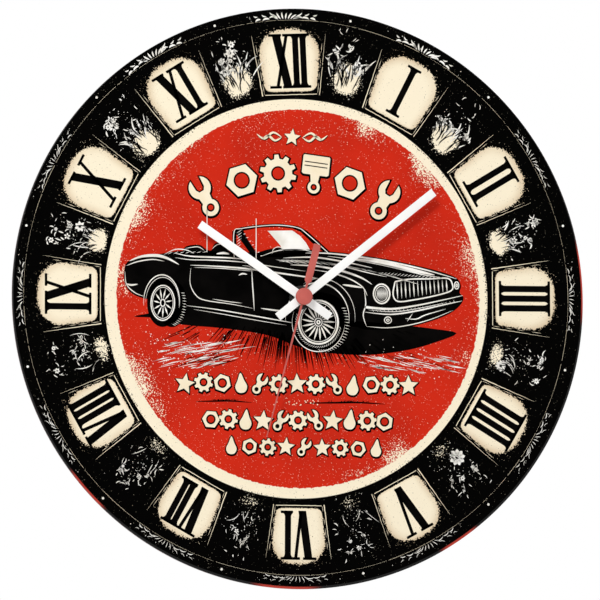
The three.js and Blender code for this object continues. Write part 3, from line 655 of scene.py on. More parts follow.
# %% [markdown]
# ## Ink materials
#
# Each ink is a flat satin colour with a little life in it: black ink mottles in its sheen,
# cream ink is warmer in patches. The cartouches behind the numerals get their own recipe,
# with a tan vignette towards the corners and black stipple eating into their borders.

# %% Flat inks


def flat_ink(name, colour, second, roughness):
    """An ink that drifts slowly from one colour to a second."""
    material, ink_tree, ink_shader = new_material(name, colour, roughness,
                                                  specular=ink_specular)
    drift = mottled(ink_tree, object_place(ink_tree), 90.0)
    feed(ink_tree, ink_shader, {
        "Base Color": mix_colour(ink_tree, ramp(ink_tree, drift["Value"], 0.3, 0.7),
                                 colour, second),
        "Roughness": ramp(ink_tree, drift["Fine"], 0.3, 0.7, roughness - 0.06,
                          roughness + 0.08)})
    return material


black_ink = flat_ink("black_ink", BLACK, (0.0026, 0.0022, 0.002), 0.5)
cream_ink = flat_ink("cream_ink", CREAM, (0.86, 0.74, 0.53), 0.52)
white_ink = flat_ink("white_ink", WHITE, (0.74, 0.70, 0.62), 0.5)

# %% Cartouche and glow inks
cartouche_half = (cartouche_top - cartouche_foot) / 2
cartouche_middle = (cartouche_top + cartouche_foot) / 2

cartouche_ink, tree, shader = new_material("cartouche_ink", CREAM, 0.52,
                                           specular=ink_specular)
place = dial_vector(tree)
patches = mottled(tree, place, 60.0)
axes = split(tree, add_node(tree, "ShaderNodeUVMap", uv_map="field").outputs[0])
half_width = times(tree, axes[1], cartouche_slope)
side = maths(tree, "ABSOLUTE", maths(tree, "DIVIDE", axes[0], half_width))
end = maths(tree, "DIVIDE", maths(tree, "SUBTRACT", axes[1], cartouche_middle),
            cartouche_half)
head = maths(tree, "MAXIMUM", end, 0.0)
foot = maths(tree, "MAXIMUM", times(tree, end, -1.0), 0.0)
dome = maths(tree, "ADD", maths(tree, "POWER", side, 2.4), maths(tree, "POWER", head, 2.1))
base = maths(tree, "ADD", maths(tree, "POWER", side, 9.0), maths(tree, "POWER", foot, 9.0))
border = maths(tree, "MAXIMUM", dome, base)
vignette = times(tree, ramp(tree, border, 0.35, 1.1),
                 ramp(tree, patches["Value"], 0.25, 0.65, 0.35, 0.9))
paper = mix_colour(tree, vignette, CREAM, TAN)
eaten = stippled(tree, place, ramp(tree, border, 0.72, 1.16, 0.0, 0.93))
closed = maths(tree, "GREATER_THAN", border, 1.5)
ground = maths(tree, "MAXIMUM", eaten, closed)
feed(tree, shader, {
    "Base Color": mix_colour(tree, ground, paper, BLACK),
    "Roughness": ramp(tree, patches["Fine"], 0.3, 0.7, 0.46, 0.6)})

glow_ink, tree, shader = new_material("glow_ink", CREAM, 0.52, specular=ink_specular)
place = dial_vector(tree)
patches = mottled(tree, place, 120.0)
axes = split(tree, add_node(tree, "ShaderNodeUVMap", uv_map="field").outputs[0])
reach = maths(tree, "SQRT", maths(tree, "ADD", maths(tree, "POWER", axes[0], 2.0),
                                  maths(tree, "POWER", axes[1], 2.0)))
uneven = maths(tree, "MULTIPLY_ADD", patches["Value"], 0.5, -0.25)
fade = ramp(tree, split(tree, place)[2], -105 * mm, 60 * mm, 0.34, 1.0)
amount = times(tree, ramp(tree, maths(tree, "ADD", reach, uneven), 1.0, 0.35), fade)
lit = stippled(tree, place, amount)
feed(tree, shader, {"Base Color": mix_colour(tree, lit, BLACK, CREAM)})
print("inks ready")

# %% [markdown]
# ## Cartouches and their rules
#
# Twelve pale cartouches carry the hours. Their sides run along radii, the foot is nearly
# square and the head is arched. A fine rule runs under each foot, and a pair of rules that
# follow the radii stands on either side, like the joints between tiles.

# %% Cartouches


def cartouche(grow):
    """Outline (beside, along) the radius of one hour."""
    foot_at = cartouche_foot - grow
    head_at = cartouche_top + grow
    corner, arch_high, arch_wide = 4.0, 7.0, 9.0
    half = []
    for i in range(7):
        a = math.pi / 2 * i / 6
        v = foot_at + corner * (1 - math.cos(a))
        half.append((cartouche_slope * v + grow - corner + corner * math.sin(a), v))
    for i in range(11):
        a = math.pi / 2 * i / 10
        v = head_at - arch_high * (1 - math.sin(a))
        side_at = cartouche_slope * (head_at - arch_high) + grow
        half.append((side_at - arch_wide + arch_wide * math.cos(a), v))
    return half + [(-u, v) for u, v in reversed(half)]


def on_hour(hour, across, outward):
    """A point of an hour's own cartouche, which may be shifted and a little smaller."""
    scale = hour_scale[hour]
    return on_dial(hour_turns[hour], across * scale,
                   cartouche_middle + (outward - cartouche_middle) * scale + hour_shift[hour])


cartouches = new_sheet()
for hour in range(12):
    outline = cartouche(1.1)
    add_shape(cartouches, [on_hour(hour, u, v) for u, v in outline], outline)
print_sheet("ink_cartouches", cartouches, 0, cartouche_ink)

# %% Glow at the foot of each panel
glow_foot = 104.8


def height_of(turn):
    """One at twelve, nought at six."""
    return 0.5 + 0.5 * math.cos(math.radians(turn))


glows = new_sheet()
for turn in gap_turns:
    outline = ellipse((0, 0), 1, 1, 32)
    wide = 7.5 + 3.5 * height_of(turn)
    tall = 4.5 + 6.5 * height_of(turn) ** 2
    add_shape(glows, [on_dial(turn, wide * u, glow_foot + tall * (1 + v)) for u, v in outline],
              outline)
print_sheet("ink_glows", glows, 0, glow_ink)

# %% Rules round the cartouches
pen = random.Random(11)
rules = new_sheet()
short_rule_starts = (106, 113, 119, 127)


def on_rim(point):
    """Moves a point as the thin circle is: a little wider than high, and to the left."""
    return 1.015 * point[0] - 1.0, 0.992 * point[1]


def rough(points, amount):
    return [(x + pen.uniform(-amount, amount), z + pen.uniform(-amount, amount))
            for x, z in points]


for hour in range(12):
    foot_rule = [on_hour(hour, u, cartouche_foot - 1.5) for u in range(-14, 15)]
    add_stroke(rules, rough(foot_rule, 0.07), 0.33)
    for hand, weight in ((-1, 0.5), (1, 0.3)):
        long_rule = [on_hour(hour, hand * divider_slope * v, v)
                     for v in [105.4 + 1.5 * i for i in range(22)]]
        add_stroke(rules, rough(long_rule, 0.09), weight, taper="end")
        inner = divider_slope - 0.0105
        for start in short_rule_starts:
            length = pen.uniform(3, 6)
            short_rule = [on_hour(hour, hand * inner * v, v)
                          for v in (start, start + length / 2, start + length)]
            add_stroke(rules, rough(short_rule, 0.05), 0.2, taper="both")
around = 0.0
while around < 360:
    span = pen.uniform(0.6, 7)
    piece_of_rim = [on_rim(turned((0, 0), a, rim_line)) for a in sweep(around, around + span, 8)]
    add_stroke(rules, rough(piece_of_rim, 0.02), pen.uniform(0.04, 0.11))
    around += span + pen.uniform(0.1, 0.7)
print_sheet("ink_rules", rules, 1, cream_ink)

# %% [markdown]
# ## Numerals
#
# The hours are condensed Roman numerals with slab serifs, drawn as a sign writer would: a
# heavy stroke and a light stroke for each V and X, stems for the ones, and slabs that bind
# them. All of them stand with their feet towards the centre, so four is written IIII.

# %% Numeral strokes
stem = 3.25
hairline = 1.7
slab = 1.35
overhang = 1.5
letter_width = {"I": 4.8, "V": 12.2, "X": 12.8}


def slab_serif(u0, u1, v, up):
    """A slab with soft ends; up is 1 at the foot and -1 at the head."""
    nib = 0.4
    return [(u0 - 0.15, v + up * nib), (u0, v), (u1, v), (u1 + 0.15, v + up * nib),
            (u1, v + up * slab), (u0, v + up * slab)]


def bracket(u, v, up, hand, reach=1.0):
    """The small curve that joins a stem's side to its slab."""
    return [(u, v + up * slab * 0.9), (u + hand * reach, v + up * slab * 0.9),
            (u + hand * reach * 0.35, v + up * (slab + 0.5)), (u, v + up * (slab + 1.5))]


def diagonal(u0, u1, v0, v1, width):
    return [(u0 - width / 2, v0), (u0 + width / 2, v0), (u1 + width / 2, v1),
            (u1 - width / 2, v1)]


def letter(kind, u, width, low, high, before, after):
    left_edge, right_edge = u - before, u + width + after
    if kind == "I":
        middle_u = u + width / 2
        strokes = [diagonal(middle_u, middle_u, low, high, stem),
                   slab_serif(left_edge, right_edge, low, 1),
                   slab_serif(left_edge, right_edge, high, -1)]
        for hand in (-1, 1):
            for v, up in ((low, 1), (high, -1)):
                strokes.append(bracket(middle_u + hand * stem / 2, v, up, hand))
        return strokes
    if kind == "V":
        tip = u + width * 0.54
        return [diagonal(u + 2.6, tip, high, low, stem + 0.9),
                diagonal(u + width - 1.9, tip + 0.6, high, low, hairline),
                slab_serif(left_edge, u + 5.6, high, -1),
                slab_serif(u + width - 4.2, right_edge, high, -1)]
    left, right = u + 2.5, u + width - 2.5
    return [diagonal(left, right, high, low, stem + 1.2),
            diagonal(right, left, high, low, hairline),
            slab_serif(left_edge, u + 5.4, high, -1),
            slab_serif(u + width - 4.7, right_edge, high, -1),
            slab_serif(left_edge, u + 4.6, low, 1),
            slab_serif(u + width - 5.4, right_edge, low, 1)]


hours = ["XII", "I", "II", "III", "IIII", "V", "VI", "VII", "VIII", "IX", "X", "XI"]
numerals = new_sheet()
for hour, text in enumerate(hours):
    cap = hour_cap[hour]
    total = sum(letter_width[kind] for kind in text)
    squeeze = hour_stretch[hour]
    cursor = -total * squeeze / 2
    for i, kind in enumerate(text):
        width = letter_width[kind] * squeeze
        before = overhang if i == 0 else 0.3
        after = overhang if i == len(text) - 1 else 0.3
        for outline in letter(kind, cursor, width, -cap / 2, cap / 2, before, after):
            add_shape(numerals, [on_dial(hour_turns[hour], u,
                                         numeral_radius + hour_shift[hour] + v)
                                 for u, v in outline])
        cursor += width
print_sheet("ink_numerals", numerals, 1, black_ink)

# %% [markdown]
# ## Flowers and leaves between the hours
#
# Each black panel between two cartouches holds a little engraved garden: blades that rise
# from the pale glow at its foot, small flowers, loose leaves and specks. A petal, a leaf and
# a blade are all one thing here, a stroke that swells and closes, so one pen draws the lot.
# A seeded random pen keeps every panel different and every run the same.

# %% Floral panels


def leaf(sheet, start, turn, length, width, bend=0.0):
    """A stroke that swells and closes; its direction changes by bend on the way."""
    path = [turned(start, math.radians(turn + bend * t), length * t)
            for t in (i / 5 for i in range(6))]
    add_stroke(sheet, path, width, taper="both")


def flower(sheet, centre, size, petals, turn=0.0):
    for i in range(petals):
        a = turn + 360 * i / petals
        leaf(sheet, turned(centre, math.radians(a), 0.22 * size), a, 0.8 * size, 0.55 * size)


def speck(sheet, centre, size):
    add_shape(sheet, ellipse(centre, size / 2, size / 2, 6))


pen = random.Random(5)
florals = new_sheet()
grass = new_sheet()
for turn in gap_turns:
    high_up = height_of(turn)
    bold = 0.36 + 0.64 * high_up
    for _ in range(int(3 + 15 * high_up ** 2)):
        u = pen.uniform(-8.5, 8.5)
        v = pen.uniform(111, 117) + 4 * high_up
        lean = turn + u * 3.0 + pen.uniform(-18, 18)
        leaf(florals, on_dial(turn, u, v), lean, pen.uniform(5, 11),
             bold * pen.uniform(0.5, 1.0), pen.uniform(-40, 40))
    for _ in range(int(12 + 22 * high_up)):
        u = pen.uniform(-9, 9)
        v = pen.uniform(109, 112 + 7 * high_up)
        lean = turn + u * 3.0 + pen.uniform(-16, 16)
        leaf(grass, on_dial(turn, u, v), lean, pen.uniform(4, 8 + 5 * high_up),
             pen.uniform(0.3, 0.55 + 0.3 * high_up), pen.uniform(-35, 35))
    crowd = [(pen.uniform(-8, 8), pen.uniform(119, 136)) for _ in range(pen.randint(3, 5))]
    for k, (u, v) in enumerate(crowd):
        size = bold * (pen.uniform(2.2, 3.6) if k == 0 else pen.uniform(1.2, 2.2))
        flower(florals, on_dial(turn, u, v), size, pen.choice((5, 6, 7)), pen.uniform(0, 60))
        for _ in range(pen.randint(3, 5)):
            a = pen.uniform(0, math.tau)
            spot = (u + 1.5 * size * math.cos(a), v + 1.5 * size * math.sin(a))
            leaf(florals, on_dial(turn, *spot), pen.uniform(0, 360), pen.uniform(1.6, 3.6),
                 bold * pen.uniform(0.5, 1.0), pen.uniform(-50, 50))
    for _ in range(pen.randint(8, 14)):
        leaf(florals, on_dial(turn, pen.uniform(-10, 10), pen.uniform(114, 140)),
             pen.uniform(0, 360), pen.uniform(1.2, 3.0), pen.uniform(0.3, 0.6),
             pen.uniform(-50, 50))
    for _ in range(70):
        u = pen.gauss(0, 6)
        v = pen.gauss(120, 7)
        if abs(u) < 11 and 105 < v < 141:
            speck(florals, on_dial(turn, u, v), pen.uniform(0.2, 0.5))
flower(florals, on_dial(134, 0, 118), 4.2, 9)
flower(florals, on_dial(106, 3, 114), 2.9, 8)
flower(florals, on_dial(344, -2, 131), 2.6, 7)
print_sheet("ink_florals", florals, 1, white_ink)
print_sheet("ink_grass", grass, 2, black_ink)

# %% [markdown]
# ## The rim
#
# Outside the thin circle runs a narrow black border. It carries a small fan of leaves at
# each hour, with a spray to either side, and pearls between them.

# %% Rim leaves and pearls
pen = random.Random(23)
rim = new_sheet()
for hour, turn in enumerate(hour_turns):
    grand = hour in (0, 1, 11)
    weight = 1.05 if grand else 0.42
    for i in range(7):
        lean = (i - 3) * 22
        leaf(rim, on_rim(on_dial(turn, 0.06 * lean, 145.2)), turn + lean,
             (3.2 if grand else 2.7) * (1 + abs(lean) / 200), weight * 0.8, 12)
    for hand in (-1, 1):
        for i in range(3):
            u = hand * (4.6 + 4.4 * i) + pen.uniform(-0.5, 0.5)
            along_rim = 145.4 - u * u / 290 + pen.uniform(0, 0.6)
            leaf(rim, on_rim(on_dial(turn, u, along_rim)), turn + hand * (48 + 10 * i),
                 4.6 - 0.8 * i, weight, hand * 42)
            leaf(rim, on_rim(on_dial(turn, u + hand * 1.6, along_rim + 1.5)),
                 turn + hand * (98 + 8 * i), 3.0 - 0.4 * i, weight * 0.6, hand * -34)
    speck(rim, on_rim(on_dial(turn + 15 + pen.uniform(-1.5, 1.5), 0, 147.4)), 1.4)
    for _ in range(12):
        speck(rim, on_rim(on_dial(turn + pen.uniform(-9, 9), 0, pen.uniform(145.4, 148.6))),
              pen.uniform(0.2, 0.5))
print_sheet("ink_rim", rim, 0, white_ink)

# %% [markdown]
# ## The picture of the car
#
# In the middle of the red field stands an engraving of an open roadster, seen from its front
# quarter. It is nobody's make: a long bonnet, round lamps and a plain barred grille. An
# engraver blocks in the dark masses first, then cuts the lights with fine strokes, and lets
# hatching run out below the wheels as a shadow. The same order is followed here.

# %% Dark masses of the car
rear_wheel = (-72.6, -1.8)
front_wheel = (11.0, -13.0)

body_outline = [
    (-84, 1), (-90, 4), (-93, 9), (-93.2, 15), (-91.5, 19.5), (-85, 22), (-74, 23.4),
    (-66, 24.6), (-56, 24.8), (-44, 24.2), (-30, 23.8), (-14, 22.6), (2, 23.6), (18, 23.6),
    (32, 22.2), (48, 20.2), (64, 17.2), (78, 14), (86, 11), (88.4, 7), (87.6, 3.4), (89.8, 1),
    (88, -3), (82, -7.6), (72, -11.6), (60, -14.8), (48, -16.4), (36, -16.4), (30, -15),
    (18, -17), (-2, -14.5), (-14, -12.2), (-34, -8.4), (-50, -5.2), (-62, -3), (-74, -1),
]
shadow_outline = [
    (-88, -8.6), (-76, -9.6), (-62, -13.2), (-40, -15.4), (-16, -19.4), (0, -25.5), (18, -29),
    (40, -29.4), (60, -26.6), (76, -22), (86, -17.6), (74, -15.6), (58, -14), (30, -12),
    (-10, -10), (-60, -3), (-78, -6.8),
]
windscreen = [
    (-35.2, 20), (-35.4, 34.6), (-31, 36.6), (-22, 37.8), (-10, 38.2), (0, 36.8), (5, 34.2),
    (11, 29), (18.4, 22.6), (14.6, 22.6), (7.4, 28.2), (1.4, 33.8), (-3, 35.6), (-11, 36.6),
    (-21, 36.2), (-29.4, 34.8), (-27, 30), (-20.5, 20.6), (-24, 20.6), (-30.6, 29.5),
    (-33.2, 33), (-33.2, 20),
]
seats = [(-62, 24), (-60, 27.2), (-53, 27.8), (-49.5, 25.4), (-46.5, 25), (-44.6, 28.4),
         (-38.6, 28.8), (-37, 24), (-40, 22.5), (-60, 22.5)]
dashboard = [(-24, 21.6), (-17, 24.8), (-6, 26.2), (2, 25.6), (8, 23.4), (-6, 21)]

car_black = new_sheet()
add_shape(car_black, windscreen)
for outline in (body_outline, shadow_outline, seats, dashboard):
    add_shape(car_black, smooth(outline, 3, closed=True))
add_shape(car_black, ellipse(rear_wheel, 8.4, 12.4, 40))
add_shape(car_black, ellipse((rear_wheel[0] + 5, rear_wheel[1] - 0.6), 8.0, 12.0, 40))
add_shape(car_black, ellipse(front_wheel, 14.6, 15.6, 44))
add_shape(car_black, ellipse((front_wheel[0] + 3.4, front_wheel[1] - 0.4), 14.0, 15.4, 44))

# %% Hatching under the car
pen = random.Random(31)
for _ in range(230):
    start = pen.gauss(-2, 26)
    if not -64 < start < 60:
        continue
    spread = (start + 4) / 56
    top = -15 - 9.5 * math.exp(-((start - 18) / 32) ** 2) + pen.uniform(-5, 2)
    length = pen.uniform(6, 16) * (1 - 0.3 * abs(spread))
    lean = math.radians(spread * 66)
    path = [(start + length * t * math.sin(lean), top - length * t * math.cos(lean))
            for t in (0, 0.35, 0.7, 1)]
    add_stroke(car_black, path, pen.uniform(0.3, 0.62), taper="end")
for _ in range(26):
    start = pen.uniform(-60, -30) if pen.random() < 0.7 else pen.uniform(48, 70)
    top = pen.uniform(-33, -26)
    length = pen.uniform(6, 15)
    sign = -1 if start < 0 else 1
    add_stroke(car_black, [(start, top), (start + sign * length * 0.5, top - length * 0.10),
                           (start + sign * length, top - length * 0.26)],
               pen.uniform(0.3, 0.6), taper="both")


def settle(sheet):
    """Let the tail of the drawing sit a little lower than its nose."""
    sheet["points"] = [(x - 1.2, z - 0.03 * max(0.0, 10 - x)) for x, z in sheet["points"]]


settle(car_black)
print_sheet("ink_car_masses", car_black, 0, black_ink)

# %% [markdown]
# The lights of the car are cut with a pale pen. Long tapered strokes follow the panels,
# short ones shade them, and wheels and lamps are rings of small strokes.

# %% Panel lines
car_light = new_sheet()


def line(points, width, taper="both", steps=4):
    add_stroke(car_light, smooth(points, steps), width, taper)


def ring(centre, wide, high, width, start=0.0, end=360.0, steps=36):
    """A ring of one width, or a part of one with its ends drawn thin."""
    path = [turned(centre, a, wide, high) for a in sweep(start, end, steps)]
    add_stroke(car_light, path, width, "none" if end - start > 350 else "both")


def spokes(centre, angles, width, *marks):
    """Strokes round a centre; a mark is its wide, its high, its lead and its own shift."""
    for a in angles:
        line([turned((centre[0] + right, centre[1] + up), a + lead, wide, high)
              for wide, high, lead, right, up in marks], width, steps=2)


line([(-90.4, 20), (-84, 22.2), (-76, 22.6), (-70, 21), (-64, 17.8)], 1.5)
line([(-92, 17.6), (-86, 19.6), (-78, 20.6), (-72, 19.6)], 0.6)
line([(-92.4, 8.4), (-89.5, 7.6), (-86, 8)], 0.9)
line([(-92.8, 14.6), (-92, 8), (-87.4, 3.6), (-82.4, 1.6)], 0.5)
line([(-66, 23.6), (-58, 22), (-48, 21.4), (-36, 20.8), (-24, 19.4)], 0.8)
line([(-66, 21.4), (-58, 20.2), (-46, 19.8), (-30, 18.6), (-12, 15.8), (4, 13.4)], 0.55)
line([(-58, 17.4), (-44, 16.6), (-28, 15.2), (-10, 12.6), (6, 10.2), (18, 8.4)], 0.9)
line([(-56, 16.2), (-40, 15.4), (-24, 13.8)], 0.35)
line([(-25, 15.4), (-24.6, 8), (-24, 0), (-23.6, -6.6)], 0.6)
line([(-25, 15.4), (-26.6, 16.4), (-30, 16.8)], 0.4)
line([(-57.6, 16), (-58, 8), (-55, 2), (-50, -0.8), (-36, -3), (-24.4, -5.4)], 0.5)
line([(-46, -0.2), (-38, -1.6), (-30, -2.6)], 0.4)
line([(-60, -3.4), (-44, -5.6), (-24, -9.2), (-8, -12.2), (-3, -13.2)], 0.6)
line([(-56, -5.4), (-40, -8.2), (-22, -11.6), (-6, -14.4)], 0.35)
line([(-20, -5.4), (-12, -6.6), (-6, -7.2)], 0.8)
line([(-32, 11.8), (-30, 12.6), (-27.4, 12.2)], 0.8)
line([(-20, 21.4), (-10, 24.4), (2, 24.6), (8, 23.2)], 0.5)

# %% Bonnet, wings and nose
line([(4, 22.8), (18, 22.6), (34, 21), (52, 18.4), (70, 14.8), (86, 10.6)], 1.0)
line([(16, 21.2), (32, 19.4), (50, 16.4), (66, 12.8), (78, 11)], 0.7)
line([(30, 20.2), (46, 18), (62, 14.8), (74, 12.4)], 2.0)
line([(-8, 20.4), (8, 20.6), (24, 18.6), (40, 15.6)], 0.8)
line([(-10, 18.6), (6, 18.6), (22, 16.6), (36, 13.4), (48, 11)], 0.6)
line([(-4, 16.8), (10, 16), (24, 13.6), (34, 10.4), (40, 7)], 1.1)
line([(6, 14.4), (18, 12.6), (28, 9.6), (35, 5.4), (37.4, 1)], 0.7)
line([(35.6, 5), (36.6, -3), (35.2, -9), (37, -14.8)], 0.6)
line([(24, 6.6), (29, 6), (35, 5.2)], 1.1)
for i in range(26):
    u = -12 + 2.7 * i
    v = 19.6 - 0.0022 * (u + 12) ** 2
    line([(u, v), (u + 5, v - 0.9), (u + 9 + i % 3, v - 2.2)], 0.3, steps=2)
for i in range(18):
    u = 44 + 1.9 * i
    v = 12.2 - 0.06 * (u - 44)
    line([(u, v), (u + 2.2, v + 1.2)], 0.28, steps=2)
grille = [(52.5, 8.6), (60, 10), (72, 10.4), (81, 10.8), (83.6, 8), (83, 4.4), (74, 1.6),
          (62, -0.8), (54, -1.6), (51.4, 2)]
add_stroke(car_light, smooth(grille + grille[:1], 4), 0.7)
for i in range(13):
    t = (i + 0.7) / 13.4
    u = 52.4 + 30 * t
    low = -0.7 + 4.6 * t
    high = 8.6 + 1.6 * t
    line([(u, low), (u - 0.5, high)], 0.55 if i % 2 else 0.8, steps=2)
line([(36, -4.8), (50, -5.6), (64, -3.6), (78, -0.6), (89.4, 2)], 1.3, taper="end")
line([(36, -7.4), (50, -8.4), (64, -6.4), (78, -3.2), (89, -0.8)], 0.8)
line([(38, -6.2), (52, -7), (66, -4.9), (80, -1.9)], 0.4)
for i in range(22):
    u = 40 + 2.1 * i
    v = -5.9 + 0.0034 * (u - 44) ** 2
    line([(u, v), (u + 1.1, v - 1.5)], 0.26, steps=2)
line([(37, -14.8), (48, -15.4), (60, -13.8), (72, -10.6), (84, -5.8)], 0.5)
line([(58, -10.4), (64, -10.6), (69, -8.4), (80, -5.2)], 0.6)
line([(59, -12), (62, -7.8)], 0.5, steps=2)
ring((48.6, -11.4), 1.9, 1.7, 0.5, steps=14)
ring((48.6, -11.4), 0.7, 0.6, 0.5, steps=10)

# %% Lamps, wheels and arches
lamp = (45.2, 2.2)
ring(lamp, 4.4, 5.0, 0.8)
ring(lamp, 3.3, 3.9, 0.35)
for i in range(9):
    u = -2.4 + 0.6 * i
    tall = 3.2 * math.sqrt(1 - (u / 3.4) ** 2)
    line([(lamp[0] + u, lamp[1] - tall), (lamp[0] + u + 0.25, lamp[1] + tall)], 0.42, steps=2)
ring((86, 7.2), 1.2, 1.9, 0.5, steps=16)
ring((86, 7.2), 0.4, 0.8, 0.5, steps=10)

ring((rear_wheel[0] - 0.6, rear_wheel[1] + 0.6), 9.6, 13.8, 0.6, -98, 104)
ring((rear_wheel[0] - 0.2, rear_wheel[1] + 0.2), 8.9, 12.9, 0.3, -90, 96)
ring(rear_wheel, 6.3, 9.0, 0.6)
ring(rear_wheel, 5.5, 8.0, 0.3)
spokes(rear_wheel, [math.tau * (i + 0.3) / 11 for i in range(11)], 0.85,
       (1.5, 2.1, 0, 0, 0), (5.0, 7.3, 0.12, 0, 0))
ring(rear_wheel, 1.2, 1.8, 0.5, steps=14)
spokes(rear_wheel, [math.radians(62 + 7.4 * i) for i in range(15)], 0.3,
       (7.7, 11.6, 0, 5, -0.6), (7.4, 11.0, 0, 3.2, -0.2))

ring((front_wheel[0] - 0.6, front_wheel[1] + 2.2), 17.2, 18.2, 0.7, -96, 98)
ring((front_wheel[0] + 1.2, front_wheel[1] + 2.6), 18.6, 20.0, 0.35, -30, 96)
ring(front_wheel, 14.2, 15.2, 0.45, 96, 292)
ring(front_wheel, 10.6, 11.2, 0.95)
ring(front_wheel, 9.5, 10.1, 0.35)
spokes(front_wheel, [math.tau * i / 17 for i in range(17)], 0.95,
       (2.4, 2.5, 0, 0, 0), (5.4, 5.7, 0.04, 0, 0), (8.9, 9.4, 0.08, 0, 0))
ring(front_wheel, 2.0, 2.1, 0.45, steps=18)
ring(front_wheel, 0.8, 0.85, 0.7, steps=12)
spokes(front_wheel, [math.radians(58 + 6.2 * i) for i in range(22)], 0.32,
       (13.6, 15.0, 0, 3.4, -0.4), (12.6, 14.0, 0, 1.6, 0))
spokes(front_wheel, [math.radians(100 + 5.6 * i) for i in range(34)], 0.28,
       (11.6, 12.3, 0, 0, 0), (12.6, 13.4, 0.1, 0, 0))

# %% Screen, seats and folded roof
add_shape(car_light, [(-16.4, 34.6), (-3.2, 34.6), (1.0, 31.8), (4.2, 28.2), (6.4, 24.6),
                      (-8.4, 24.4), (-9.6, 27)])
line([(-34.4, 21), (-34.5, 34.2), (-30.6, 35.9), (-20, 37.1), (-10, 37.4), (0, 35.9),
      (5.2, 32.4), (16.4, 22.8)], 0.4, "none")
for i in range(9):
    v = 21.6 + 1.5 * i
    line([(-33, v), (-31.2 + 0.14 * i, v + 1.8)], 0.3, steps=2)
for i in range(7):
    line([(-29.5 + 1.5 * i, 33 - 1.9 * i), (-28.2 + 1.5 * i, 33.2 - 1.9 * i)], 0.4, steps=2)
line([(-72, 23), (-66, 25.6), (-60, 25.2), (-56, 23.4)], 0.5)
line([(-60.6, 26), (-54, 26.8), (-50.4, 24.8)], 0.4)
line([(-46.2, 25.6), (-43.4, 27.8), (-39, 27.8), (-37.6, 24.6)], 0.5)
line([(-44, 23), (-40, 23.4), (-37, 22.8)], 1.2)
for i in range(7):
    line([(-70 + 3.1 * i, 23.2 + 0.1 * i), (-67.4 + 3.1 * i, 24.4)], 0.3, steps=2)
line([(-14, 22.6), (-13.2, 25.2), (-10.4, 26.2), (-8, 24.8)], 0.4)
line([(-49, 46), (-49, 24)], 0.42, "none", steps=2)
line([(-22.6, 41), (-22.6, 16)], 0.42, "none", steps=2)

# %% Scratches in the ground and the wash of specks
for _ in range(120):
    left = pen.random() < 0.5
    u = pen.uniform(-80, -34) if left else pen.uniform(32, 82)
    v = pen.uniform(-36, -23) if left else pen.uniform(-37, -29)
    length = pen.uniform(3, 12)
    slope = (0.20 if left else -0.22) * (1 + pen.uniform(-0.3, 0.3))
    add_stroke(car_light, [(u, v), (u + length * 0.5, v + slope * length * 0.6),
                           (u + length, v + slope * length)],
               pen.uniform(0.22, 0.6), taper="both")
for _ in range(240):
    left = pen.random() < 0.6
    u = pen.gauss(-60, 12) if left else pen.gauss(62, 14)
    v = pen.gauss(-27, 5) if left else pen.gauss(-33, 4)
    if math.hypot(u, v) < field_edge - 4:
        speck(car_light, (u, v), pen.uniform(0.25, 0.7))
settle(car_light)
print_sheet("ink_car_lights", car_light, 1, white_ink)

# %% [markdown]
# ## Workshop signs
#
# Above and below the car stand signs that anyone can read without words: spanners, nuts,
# gears, a piston, drops of oil and stars. Each is one outline that is printed twice, first
# in black and a little larger, then in cream, the way a sign painter outlines a letter. A
# hole is two more passes, a black disc and a red one.

# %% Outlines of the signs


def arc(centre, reach, start, end, steps):
    """Part of a circle; its angles run anticlockwise from three o'clock."""
    return [(centre[0] + reach * math.cos(a), centre[1] + reach * math.sin(a))
            for a in sweep(start, end, steps)]


def spanner():
    jaw = [(-2.2, 4.4), (-1.2, 2.8), (1.2, 2.8), (2.2, 4.4)]
    return (arc((0, 4.6), 5.2, 62, -58, 10) + arc((0, -5.6), 3.9, 52, -232, 18)
            + arc((0, 4.6), 5.2, 238, 118, 10) + jaw)


def nut(size):
    return arc((0, 0), size, 0, 300, 5)


def gear(size, teeth):
    tooth = ((-0.30, 0.78), (-0.17, 1.0), (0.17, 1.0), (0.30, 0.78))
    return [turned((0, 0), math.tau * (i + step) / teeth, size * reach)
            for i in range(teeth) for step, reach in tooth]


def piston():
    right = [(6, 8.6), (6.4, 8), (6.4, 0.4), (5.6, -0.2), (2.2, -0.2), (1.7, -3.4)]
    left = [(-u, v) for u, v in reversed(right)]
    return left[-1:] + right + arc((0, -5.8), 2.9, 50, -230, 14) + left[:-1]


def drop(size):
    half = [(0.36, 0.35), (0.66, -0.3), (0.45, -0.85)]
    round_it = [(0, 1.15), *half, (0, -1.0), *((-u, v) for u, v in reversed(half))]
    return smooth([(u * size, v * size) for u, v in round_it], 3, closed=True)


def star(size, points=5, inner=0.45):
    return [turned((0, 0), math.pi * i / points, size * (inner if i % 2 else 1))
            for i in range(2 * points)]


def grown(outline, amount):
    """The outline moved outwards by amount; corners are kept from running out."""
    area = sum(outline[i - 1][0] * outline[i][1] - outline[i][0] * outline[i - 1][1]
               for i in range(len(outline)))
    sign = 1 if area > 0 else -1
    made = []
    for i, (x, z) in enumerate(outline):
        before, after = outline[i - 1], outline[(i + 1) % len(outline)]
        one = (x - before[0], z - before[1])
        two = (after[0] - x, after[1] - z)
        one_length, two_length = math.hypot(*one) or 1, math.hypot(*two) or 1
        normal = (one[1] / one_length + two[1] / two_length,
                  -one[0] / one_length - two[0] / two_length)
        square = normal[0] ** 2 + normal[1] ** 2
        push = sign * amount * min(2 / max(square, 1e-6), 1.6)
        made.append((x + normal[0] * push, z + normal[1] * push))
    return made


sign_back, sign_front, sign_hole, sign_red = new_sheet(), new_sheet(), new_sheet(), new_sheet()


